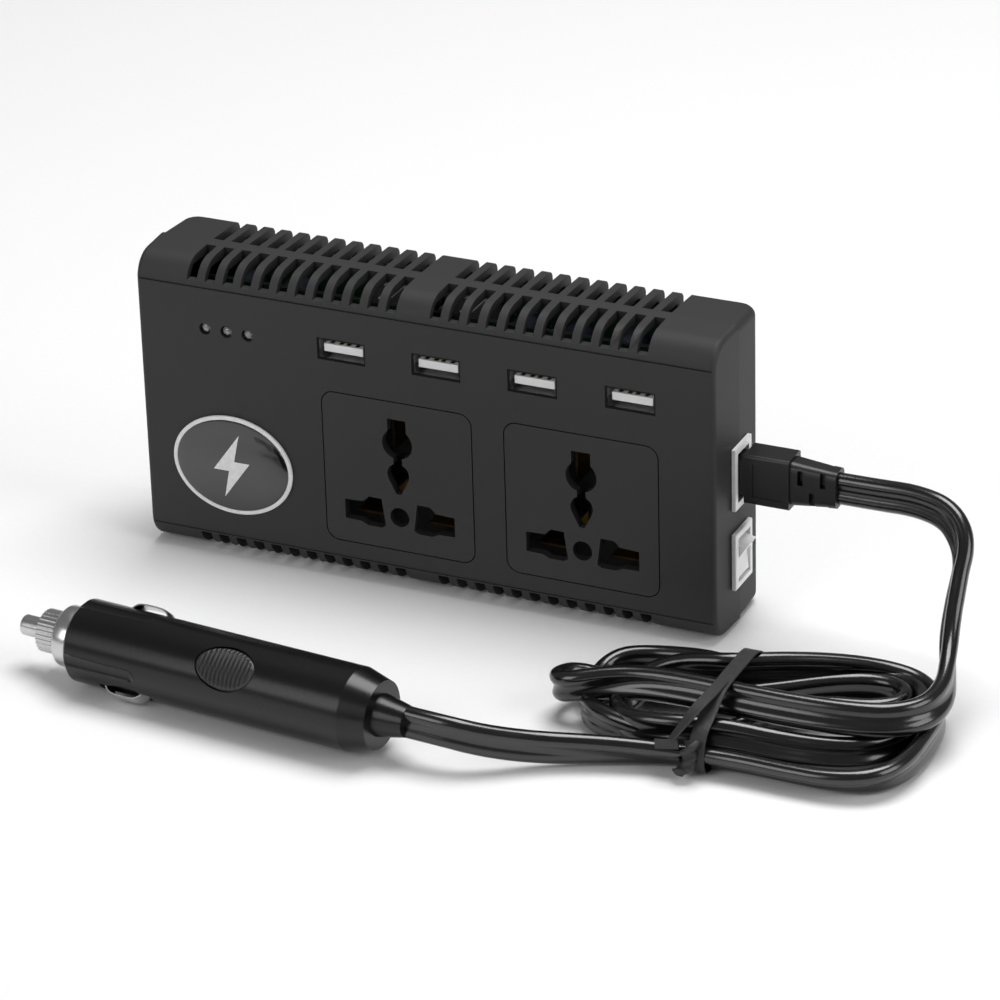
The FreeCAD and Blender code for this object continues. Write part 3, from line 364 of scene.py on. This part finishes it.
def select_only(piece):
    """Deselects everything else and makes the piece the active one."""
    bpy.ops.object.select_all(action="DESELECT")
    piece.select_set(True)
    bpy.context.view_layer.objects.active = piece


def round_about(middle_y, first, last, count, side=1):
    """Part of a core's circle, as corners of the section."""
    corners = []
    for step in range(count):
        turn = math.radians(first + (last - first) * step / (count - 1))
        x = CORE_RADIUS * math.cos(turn)
        corners.append((x, side * (middle_y + CORE_RADIUS * math.sin(turn))))
    return corners


upper_core = round_about(CORE_SHIFT, -34, 214, 12)
lower_core = [(x, -y) for x, y in reversed(upper_core)]
LEAD_SECTION = upper_core + [(-GROOVE, 0.0)] + lower_core + [(GROOVE, 0.0)]

lead = line("lead", LEAD_ROUTE)
lead.data.resolution_u = 8
lead_line = centre_line(lead)
lead = swept(lead, LEAD_SECTION)
bpy.ops.object.shade_smooth_by_angle(angle=math.radians(50))


def dress(piece, finish, body):
    """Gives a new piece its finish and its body."""
    piece.data.materials.clear()
    piece.data.materials.append(finish.material)
    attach(piece, body)


pvc = Finish("lead_pvc", Specular_IOR_Level=0.6, Coat_Roughness=0.12)
handled = pvc.noise(0.006)
fine = pvc.noise(0.0004)
pvc.set(
    Base_Color=pvc.blend(handled, grey(0.002), grey(0.004)),
    Roughness=0.16 + 0.08 * handled + 0.03 * fine,
    Coat_Weight=0.25 + 0.2 * handled,
    Normal=pvc.bump(0.7 * handled + 0.3 * fine, 0.00006),
)
dress(lead, pvc, "lead")
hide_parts("cord_drop", "cord_hank", "cord_tail")

# ---------------------------------------------------------------- the tie round the hank
# A flat twist tie: a wire down the middle of a dark paper strip, wrapped once round the waist
# of the hank.  Its ends cross in front: one is twisted into a knot, the other ends in a bar.

TIE_WIDTH = 0.0040
TIE_X = 0.0980
TIE_LOOP = [
    (TIE_X, -0.0770, 0.0066),
    (TIE_X, -0.0766, 0.0004),
    (TIE_X, -0.0700, 0.0003),
    (TIE_X, -0.0560, 0.0003),
    (TIE_X, -0.0420, 0.0003),
    (TIE_X, -0.0366, 0.0004),
    (TIE_X, -0.0358, 0.0070),
    (TIE_X, -0.0382, 0.0136),
    (TIE_X, -0.0420, 0.0166),
    (TIE_X, -0.0500, 0.0166),
    (TIE_X, -0.0590, 0.0166),
    (TIE_X, -0.0640, 0.0160),
    (TIE_X, -0.0700, 0.0124),
    (TIE_X, -0.0748, 0.0108),
]


def drawn_out(step, times):
    """Extrudes the selected edges or faces by the same step, several times."""
    for _ in range(times):
        bpy.ops.mesh.extrude_region_move(TRANSFORM_OT_translate={"value": step})


def to_mesh(curve):
    """Makes a bare curve into a line of edges."""
    select_only(curve)
    bpy.ops.object.convert(target="MESH")
    return bpy.context.object


def modify(piece, kind, **settings):
    """Adds a modifier and applies it."""
    select_only(piece)
    modifier = piece.modifiers.new(kind.lower(), kind)
    for name, value in settings.items():
        setattr(modifier, name, value)
    bpy.ops.object.modifier_apply(modifier=modifier.name)


tie_band = line("tie_band", TIE_LOOP, closed=True)
tie_band.data.resolution_u = 6
tie_band = to_mesh(tie_band)
bpy.ops.object.mode_set(mode="EDIT")
bpy.ops.mesh.select_all(action="SELECT")
drawn_out((TIE_WIDTH / 6, 0, 0), 6)
bpy.ops.mesh.select_all(action="SELECT")
bpy.ops.mesh.normals_make_consistent(inside=False)
bpy.ops.object.mode_set(mode="OBJECT")
for vertex in tie_band.data.vertices:
    vertex.select = abs(vertex.co.x - TIE_X - TIE_WIDTH / 2) < TIE_WIDTH / 12
bpy.ops.object.mode_set(mode="EDIT")
bpy.ops.transform.shrink_fatten(value=0.0003)
bpy.ops.object.mode_set(mode="OBJECT")
modify(tie_band, "SOLIDIFY", thickness=0.0004, offset=0.0)
bpy.ops.object.shade_smooth_by_angle(angle=math.radians(40))

def oblong(half_width, half_sheet):
    """A flat section with its corners taken off."""
    inner = half_width - 0.6 * half_sheet
    half = [(half_width, 0.4 * half_sheet), (inner, half_sheet), (-inner, half_sheet)]
    half.append((-half_width, 0.4 * half_sheet))
    return half + [(-x, -y) for x, y in half]


TIE_KNOT = [
    (0.0990, -0.0770, 0.0092, 20),
    (0.0992, -0.0784, 0.0078, 70),
    (0.0984, -0.0790, 0.0060, 200),
    (0.0984, -0.0784, 0.0042, 330),
    (0.0972, -0.0792, 0.0026, 420),
    (0.0962, -0.0796, 0.0016, 470),
]
TIE_TAIL = [
    (0.0998, -0.0600, 0.0171, 0),
    (0.0994, -0.0660, 0.0168, 0),
    (0.0984, -0.0712, 0.0160, 0),
    (0.0968, -0.0752, 0.0136, 8),
    (0.0950, -0.0776, 0.0108, 12),
    (0.0940, -0.0786, 0.0092, 12),
]
TIE_CROSSBAR = [
    (0.0905, -0.0796, 0.0083, 0),
    (0.0922, -0.0794, 0.0084, 6),
    (0.0940, -0.0792, 0.0086, 0),
    (0.0962, -0.0790, 0.0090, -8),
]
tie_pieces = [tie_band]
for name, route, section in (
    ("tie_knot", TIE_KNOT, oblong(0.0021, 0.0011)),
    ("tie_tail", TIE_TAIL, oblong(0.0016, 0.0003)),
    ("tie_crossbar", TIE_CROSSBAR, [(y, x) for x, y in reversed(oblong(0.0013, 0.0004))]),
):
    strip = line(name, route)
    strip.data.resolution_u = 12
    strip = swept(strip, section, upright=name != "tie_knot")
    bpy.ops.object.shade_smooth_by_angle(angle=math.radians(40))
    tie_pieces.append(strip)

paper = Finish("tie_paper", Specular_IOR_Level=0.4)
wrinkle = paper.noise(0.0012)
fibres = paper.noise(0.0002)
paper.set(
    Base_Color=paper.blend(wrinkle, grey(0.016), grey(0.035)),
    Roughness=0.42 + 0.2 * wrinkle,
    Normal=paper.bump(wrinkle + 0.4 * fibres, 0.00012),
)
for piece in tie_pieces:
    dress(piece, paper, "lead")
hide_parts("twist_tie")

# ---------------------------------------------------------------- the case
# Two shells of charcoal ABS with a fine spark-eroded texture, moulded with cooling slots over
# their long edges, and clamped together by four screws from the rear.


def finish_node(finish, *names):
    """Gives CAD pieces a finish in all their slots."""
    for name in names:
        for slot in nodes[name].material_slots:
            slot.material = finish.material


def moulded(name, dark, light, roughness, texture=0.0003, depth=0.00002, **constants):
    """Injection-moulded plastic: slow changes of tone, and the grain of the tool."""
    plastic = Finish(name, **constants)
    flow = plastic.noise(0.03, 2.0)
    grain = plastic.noise(texture, 2.0)
    plastic.set(
        Base_Color=plastic.blend(0.7 * flow + 0.3 * grain, dark, light),
        Roughness=roughness - 0.05 + 0.06 * flow + 0.06 * grain,
        Normal=plastic.bump(grain, depth),
    )
    return plastic


case_plastic = moulded(
    "case_plastic", grey(0.0155), grey(0.0205), 0.60, 0.00035, 0.00004, Specular_IOR_Level=0.45
)
finish_node(case_plastic, "front_shell", "rear_shell")

screw_steel = Finish("screw_steel", Metallic=1.0)
turning = screw_steel.noise(0.0006)
screw_steel.set(
    Base_Color=screw_steel.blend(turning, grey(0.22), grey(0.34)),
    Roughness=0.3 + 0.15 * turning,
    Normal=screw_steel.bump(turning, 0.00002),
)
finish_node(screw_steel, "case_screws")

# ---------------------------------------------------------------- universal sockets
# Square inserts of the same plastic, a little smoother, with openings for flat, round and
# oblong pins; brass forks, painted dark as shade, stand behind the openings in a moulded base.

socket_plastic = moulded(
    "socket_plastic", grey(0.0150), grey(0.0200), 0.54, 0.0005, 0.00002, Specular_IOR_Level=0.45
)
finish_node(socket_plastic, "socket_face_left", "socket_face_right")
finish_node(socket_plastic, "socket_base_left", "socket_base_right")

# The brass is painted far darker than clean brass, as painted shade on contacts deep in openings;
# the mottle between the two tones is tarnish.
contact_brass = Finish("contact_brass", Metallic=1.0)
tarnish_and_shade = contact_brass.noise(0.002)
rolled_lines = contact_brass.noise(0.0002)
contact_brass.set(
    Base_Color=contact_brass.blend(tarnish_and_shade, (0.10, 0.065, 0.022, 1), (0.23, 0.16, 0.06, 1)),
    Roughness=0.28 + 0.2 * tarnish_and_shade,
    Normal=contact_brass.bump(rolled_lines, 0.00001),
)
finish_node(contact_brass, "socket_contacts_left", "socket_contacts_right", "inlet_pins")
finish_node(contact_brass, "switch_terminals", "connector_contacts")

# ---------------------------------------------------------------- USB outlets
# Nickel-plated sleeves folded from sheet, with a rim of painted shade, near black, where they sit
# in the panel, and a white insulator in each that carries four plated strips on top, darkened as
# painted shade.

# The sleeve's mouth in front of this depth is painted near black and rough: painted shade, not a
# part.
SHADED_RIM_BACK_Y = -0.01425
port_steel = Finish("port_steel", Metallic=1.0)
rubbed = port_steel.noise(0.0008)
painted_shade_rim = port_steel.along("Y") < SHADED_RIM_BACK_Y
port_steel.set(
    Base_Color=port_steel.blend(
        painted_shade_rim, port_steel.blend(rubbed, grey(0.55), grey(0.72)), grey(0.02)
    ),
    Roughness=0.18 + 0.12 * rubbed + 0.4 * painted_shade_rim,
    Normal=port_steel.bump(rubbed, 0.00001),
)
insulator = moulded("port_insulator", grey(0.74), grey(0.86), 0.3, 0.001, 0.00001)
# The plated strips are painted far darker than plated metal, as painted shade on the insulator's
# top.
strip_plating = Finish("strip_plating", Metallic=1.0)
rubbing = strip_plating.noise(0.0004)
strip_plating.set(
    Base_Color=strip_plating.blend(rubbing, (0.10, 0.08, 0.04, 1), (0.2, 0.15, 0.07, 1)),
    Roughness=0.3 + 0.15 * rubbing,
)
for number in range(1, 5):
    finish_node(port_steel, f"usb_shell_{number}")
    finish_node(insulator, f"usb_tongue_{number}")
finish_node(strip_plating, "usb_contacts")

# ---------------------------------------------------------------- status lamps
# Three clear epoxy lamps, 3 mm across, whose domes stand in holes through the panel.

epoxy = Finish("lamp_epoxy", Transmission_Weight=0.75, IOR=1.5, Coat_Roughness=0.03)
cast = epoxy.noise(0.0007)
epoxy.set(
    Base_Color=epoxy.blend(cast, grey(0.55), grey(0.8)),
    Roughness=0.06 + 0.08 * cast,
    Coat_Weight=0.6 + 0.3 * cast,
)
finish_node(epoxy, "status_led_1", "status_led_2", "status_led_3")

# ---------------------------------------------------------------- badge
# A glued oval badge: a bright rim, a black field under a domed coat of clear resin, and a
# plain lightning bolt printed in white.

BADGE_X, BADGE_Z = -0.0540, 0.0264
field_low, field_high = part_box("badge_plate")
field_half_x = (field_high.x - field_low.x) / 2
field_half_z = (field_high.z - field_low.z) / 2
DOME_STEPS = [  # how far each ring of the dome lies inside the last, and how far it rises
    (0.0004, 0.00012),
    (0.0010, 0.00012),
    (0.0020, 0.00014),
    (0.0026, 0.00012),
    (0.0030, 0.00008),
]

bpy.ops.object.select_all(action="DESELECT")
bpy.ops.mesh.primitive_circle_add(
    vertices=96,
    radius=field_half_x,
    fill_type="NGON",
    location=(BADGE_X, field_high.y, BADGE_Z),
    rotation=(math.radians(90), 0, 0),
)
badge_dome = bpy.context.object
badge_dome.name = "badge_dome"
bpy.ops.object.transform_apply(location=False, rotation=True, scale=False)
bpy.ops.object.mode_set(mode="EDIT")
bpy.ops.mesh.select_all(action="SELECT")
bpy.ops.transform.resize(value=(1, 1, field_half_z / field_half_x))
drawn_out((0, field_low.y - field_high.y, 0), 1)
for inset, rise in DOME_STEPS:
    bpy.ops.mesh.inset(thickness=inset, depth=0)
    bpy.ops.transform.translate(value=(0, -rise, 0))
bpy.ops.mesh.select_all(action="SELECT")
bpy.ops.mesh.normals_make_consistent(inside=False)
bpy.ops.object.mode_set(mode="OBJECT")
bpy.ops.object.transform_apply(location=True, rotation=True, scale=True)
bpy.ops.object.shade_smooth_by_angle(angle=math.radians(30))
gloss_black = Finish("badge_black", Coat_Roughness=0.02)
cloud = gloss_black.noise(0.01)
gloss_black.set(
    Base_Color=gloss_black.blend(cloud, grey(0.003), grey(0.006)),
    Roughness=0.12 + 0.05 * cloud,
    Coat_Weight=0.8 + 0.2 * cloud,
)
dress(badge_dome, gloss_black, "case")
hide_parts("badge_plate")

BOLT = [(2.4, 9.0), (-5.2, -1.4), (-0.8, -1.4), (-2.4, -9.0), (5.2, 1.4), (0.8, 1.4)]
bolt = line(
    "badge_bolt",
    [(BADGE_X + x / 1000, field_low.y - 0.002, BADGE_Z + z / 1000) for x, z in BOLT],
    closed=True,
    kind="POLY",
)
bolt = to_mesh(bolt)
bpy.ops.object.mode_set(mode="EDIT")
bpy.ops.mesh.select_all(action="SELECT")
bpy.ops.mesh.edge_face_add()
bpy.ops.mesh.quads_convert_to_tris()
bpy.ops.mesh.subdivide(number_cuts=6)
bpy.ops.object.mode_set(mode="OBJECT")
modify(
    bolt,
    "SHRINKWRAP",
    target=badge_dome,
    wrap_method="PROJECT",
    use_project_y=True,
    use_positive_direction=True,
    use_negative_direction=True,
    offset=0.0,
)
modify(bolt, "SOLIDIFY", thickness=0.00012, offset=0.0)
bpy.ops.object.shade_smooth_by_angle(angle=math.radians(30))
badge_white = Finish("badge_white", Specular_IOR_Level=0.5)
mottle = badge_white.noise(0.002)
badge_white.set(
    Base_Color=badge_white.blend(mottle, grey(0.72), grey(0.84)),
    Roughness=0.22 + 0.1 * mottle,
)
dress(bolt, badge_white, "case")
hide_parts("badge_emblem")

CREASE = math.radians(32)


def eased(node, name, width):
    """A copy of a CAD piece with its sharp edges rounded, as a moulding tool leaves them."""
    piece = bpy.data.objects.new(name, nodes[node].data.copy())
    bpy.context.scene.collection.objects.link(piece)
    select_only(piece)
    bpy.ops.mesh.customdata_custom_splitnormals_clear()
    bpy.ops.object.mode_set(mode="EDIT")
    bpy.ops.mesh.select_all(action="SELECT")
    bpy.ops.mesh.remove_doubles(threshold=1e-6)
    bpy.ops.mesh.dissolve_limited(angle_limit=math.radians(0.5))
    bpy.ops.object.mode_set(mode="OBJECT")
    modify(
        piece,
        "BEVEL",
        width=width,
        segments=2,
        limit_method="ANGLE",
        angle_limit=CREASE,
        use_clamp_overlap=True,
        miter_outer="MITER_ARC",
    )
    bpy.ops.object.shade_smooth_by_angle(angle=CREASE)
    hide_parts(node)
    return piece


badge_ring = eased("badge_rim", "badge_ring", 0.00025)
dress(badge_ring, badge_white, "case")

# ---------------------------------------------------------------- inlet and switch
# White nylon mouldings snapped into the end of the case: a frame with a deep well for the
# connector, and a rocker that tips on two pins in its own frame.

white_nylon = moulded("white_nylon", grey(0.84), grey(0.90), 0.36, 0.0006, 0.00001)
finish_node(white_nylon, "inlet_housing", "switch_bezel", "switch_rocker")

# ---------------------------------------------------------------- boards and parts inside
# Green glass-epoxy boards with tinned tracks, their greens painted near black as the shade inside
# the case.  The main board carries a ferrite transformer wound with tape, sleeved capacitors, an
# aluminium comb and three flat packages.

board = Finish("circuit_board")
layout = board.node(
    "TexBrick",
    {"offset": 0.37},
    {
        "Vector": board.place(),
        "Scale": 160.0,
        "Mortar Size": 0.03,
        "Color1": grey(0.0),
        "Color2": grey(0.4),
        "Mortar": grey(1.0),
    },
    output="Fac",
)
pads = board.node("TexVoronoi", inputs={"Vector": board.place(), "Scale": 330.0}) < 0.16
weave = board.noise(0.0004)
# The mask and track greens are painted near black: painted shade for the inside of the case.
shaded_mask_green = board.blend(weave, (0.002, 0.012, 0.006, 1), (0.004, 0.022, 0.010, 1))
tracked = board.blend(0.6 * layout, shaded_mask_green, (0.008, 0.04, 0.016, 1))
board.set(
    Base_Color=board.blend(pads, tracked, grey(0.28)),
    Metallic=0.9 * pads,
    Roughness=0.4 - 0.1 * pads + 0.1 * weave,
    Normal=board.bump(layout + pads, 0.00008),
)
finish_node(board, "front_board", "main_board")

ferrite = moulded("ferrite", grey(0.020), grey(0.040), 0.6, 0.0006, 0.00006)
finish_node(ferrite, "transformer_core")

tape = Finish("winding_tape")
turns = (tape.along("Z") * 1800.0).sine()
creases = tape.noise(0.004)
tape.set(
    Base_Color=tape.blend(creases, (0.30, 0.19, 0.02, 1), (0.45, 0.30, 0.04, 1)),
    Roughness=0.35 + 0.1 * creases,
    Normal=tape.bump(0.5 * turns + creases, 0.0002),
)
finish_node(tape, "transformer_winding")

CAN_TOP_Y = -0.00155
sleeve = Finish("capacitor_sleeve")
can_top = sleeve.along("Y") < CAN_TOP_Y
shrink = sleeve.noise(0.003)
sleeve.set(
    Base_Color=sleeve.blend(
        can_top, sleeve.blend(shrink, (0.004, 0.005, 0.012, 1), (0.008, 0.01, 0.02, 1)), grey(0.5)
    ),
    Metallic=can_top * 1.0,
    Roughness=0.25 + 0.15 * shrink,
)
finish_node(sleeve, "capacitors")

aluminium = Finish("aluminium", Metallic=1.0)
drawn = aluminium.node(
    "TexNoise",
    inputs={
        "Vector": aluminium.node(
            "Mapping", inputs={"Vector": aluminium.place(), "Scale": (3000.0, 3000.0, 60.0)}
        ),
        "Scale": 1.0,
    },
)
aluminium.set(
    Base_Color=aluminium.blend(drawn, grey(0.42), grey(0.62)),
    Roughness=0.3 + 0.2 * drawn,
    Normal=aluminium.bump(drawn, 0.00003),
)
finish_node(aluminium, "heat_sink")

package = moulded("package_epoxy", grey(0.010), grey(0.018), 0.5, 0.0003, 0.00003)
finish_node(package, "power_transistors")

# ---------------------------------------------------------------- connector on the lead
# A black PVC plug moulded over two brass sleeves, with a shallow panel in each cheek, and a
# slotted sleeve behind it that lets the lead bend gently.

connector_plastic = moulded(
    "connector_plastic", grey(0.004), grey(0.007), 0.36, 0.0006, 0.00002, Specular_IOR_Level=0.5
)
finish_node(connector_plastic, "connector_body", "connector_strain_relief")

# ---------------------------------------------------------------- car plug
# A phenolic handle bored for the fuse, with a screwed rear cap, ribbed finger pads let into
# its sides, a plated collar and knurled nut, a sprung centre pin and two sprung side strips.

PLUG_FOOT = (-0.0586, -0.0874, 0.0105)
PLUG_HEADING = math.radians(-5)
PLUG_ROLL = math.radians(-42)
PLUG = (
    Matrix.Translation(PLUG_FOOT)
    @ Matrix.Rotation(PLUG_HEADING, 4, "Z")
    @ Matrix.Rotation(PLUG_ROLL, 4, "X")
)
HANDLE_RADIUS = 0.0105

phenolic = moulded(
    "plug_plastic", grey(0.0025), grey(0.0045), 0.24, 0.0008, 0.00001, Specular_IOR_Level=0.4
)
finish_node(phenolic, "plug_body", "plug_rear_cap", "plug_strain_relief")

PAD_HALF_LENGTH, PAD_HALF_WIDTH, PAD_MIDDLE = 0.0082, 0.0055, 0.0460
RIBS = 14
rubber = moulded("grip_rubber", grey(0.014), grey(0.024), 0.36, 0.0005, 0.00002)


def finger_pad(name, side):
    """An oval pad wrapped round the handle, with ribs across it and a sunk border."""
    bpy.ops.object.select_all(action="DESELECT")
    bpy.ops.mesh.primitive_grid_add(x_subdivisions=RIBS * 8, y_subdivisions=24, size=2)
    pad = bpy.context.object
    pad.name = name
    for vertex in pad.data.vertices:
        u, v = vertex.co.x, vertex.co.y
        along = PAD_HALF_LENGTH * u
        across = PAD_HALF_WIDTH * v * math.sqrt(max(0.0, 1 - u * u))
        reach = math.hypot(along / PAD_HALF_LENGTH, across / PAD_HALF_WIDTH)
        rib = 0.5 + 0.5 * math.cos(2 * math.pi * RIBS * (u + 1) / 2)
        height = 0.00055 * rib if reach < 0.9 else 0.00030 * min(1, (1 - reach) / 0.06)
        radius = HANDLE_RADIUS - 0.0003 + height
        turn = across / HANDLE_RADIUS
        vertex.co = (
            PAD_MIDDLE + along,
            side * radius * math.cos(turn),
            radius * math.sin(turn),
        )
    bpy.ops.object.mode_set(mode="EDIT")
    bpy.ops.mesh.select_all(action="SELECT")
    bpy.ops.mesh.remove_doubles(threshold=1e-6)
    if side > 0:
        bpy.ops.mesh.flip_normals()
    bpy.ops.object.mode_set(mode="OBJECT")
    modify(pad, "SOLIDIFY", thickness=0.00025, offset=-1.0)
    bpy.ops.object.shade_smooth_by_angle(angle=math.radians(60))
    pad.data.transform(PLUG)
    return pad


front_pad = finger_pad("finger_pad_front", -1)
back_pad = finger_pad("finger_pad_back", 1)
for pad in (front_pad, back_pad):
    dress(pad, rubber, "lead")
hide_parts("plug_grips")

nickel = Finish("plating", Metallic=1.0)
haze = nickel.noise(0.003)
scratches = nickel.noise(0.00025)
nickel.set(
    Base_Color=nickel.blend(haze, grey(0.50), grey(0.66)),
    Roughness=0.16 + 0.1 * haze + 0.06 * scratches,
    Normal=nickel.bump(scratches, 0.000006),
)
dress(eased("plug_collar", "plug_ring", 0.00015), nickel, "lead")
finish_node(nickel, "plug_fuse_nut", "plug_tip")

STRIP_HALF_WIDTH = 0.0023
STRIP_HALF_SHEET = 0.00025
STRIP_SECTION = [
    (-STRIP_HALF_WIDTH, -STRIP_HALF_SHEET),
    (STRIP_HALF_WIDTH, -STRIP_HALF_SHEET),
    (STRIP_HALF_WIDTH, 0.4 * STRIP_HALF_SHEET),
    (0.7 * STRIP_HALF_WIDTH, STRIP_HALF_SHEET),
    (-0.7 * STRIP_HALF_WIDTH, STRIP_HALF_SHEET),
    (-STRIP_HALF_WIDTH, 0.4 * STRIP_HALF_SHEET),
]
for side, name, node, body in (
    (1, "side_strip_upper", "side_contact_upper", "contact_upper"),
    (-1, "side_strip_lower", "side_contact_lower", "contact_lower"),
):
    bow = line(
        name,
        [
            (0.0103, 0, 0.0080),
            (0.0107, 0, 0.0096),
            (0.0122, 0, 0.0114),
            (0.0142, 0, 0.0118),
            (0.0164, 0, 0.0118),
            (0.0186, 0, 0.0118),
            (0.0206, 0, 0.0114),
            (0.0221, 0, 0.0096),
            (0.0225, 0, 0.0080),
        ],
    )
    bow = swept(bow, STRIP_SECTION)
    if side < 0:
        bow.data.transform(Matrix.Rotation(math.radians(180), 4, "X"))
    bow.data.transform(PLUG)
    bpy.ops.object.shade_smooth_by_angle(angle=math.radians(40))
    dress(bow, nickel, body)
    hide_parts(node)

FUSE_MIDDLE, FUSE_GLASS_HALF = 0.0091, 0.0090
glass = Finish("fuse_glass")
fume = glass.noise(0.002)
on_plug = glass.node(
    "Mapping",
    {"vector_type": "TEXTURE"},
    {
        "Vector": glass.place(),
        "Location": PLUG_FOOT,
        "Rotation": (0, 0, PLUG_HEADING),
    },
)
fuse_x = glass.node("SeparateXYZ", inputs={0: on_plug}, output="X")
fuse_cap = abs(fuse_x - FUSE_MIDDLE) > FUSE_GLASS_HALF
glass.set(
    Base_Color=glass.blend(fuse_cap, grey(0.45), grey(0.6)),
    Metallic=fuse_cap * 1.0,
    Roughness=0.1 + 0.1 * fume,
)
finish_node(glass, "plug_fuse")

spring = Finish("spring_steel", Metallic=1.0)
drawn_wire = spring.noise(0.0004)
spring.set(
    Base_Color=spring.blend(drawn_wire, grey(0.30), grey(0.45)),
    Roughness=0.25 + 0.15 * drawn_wire,
)
finish_node(spring, "plug_spring")
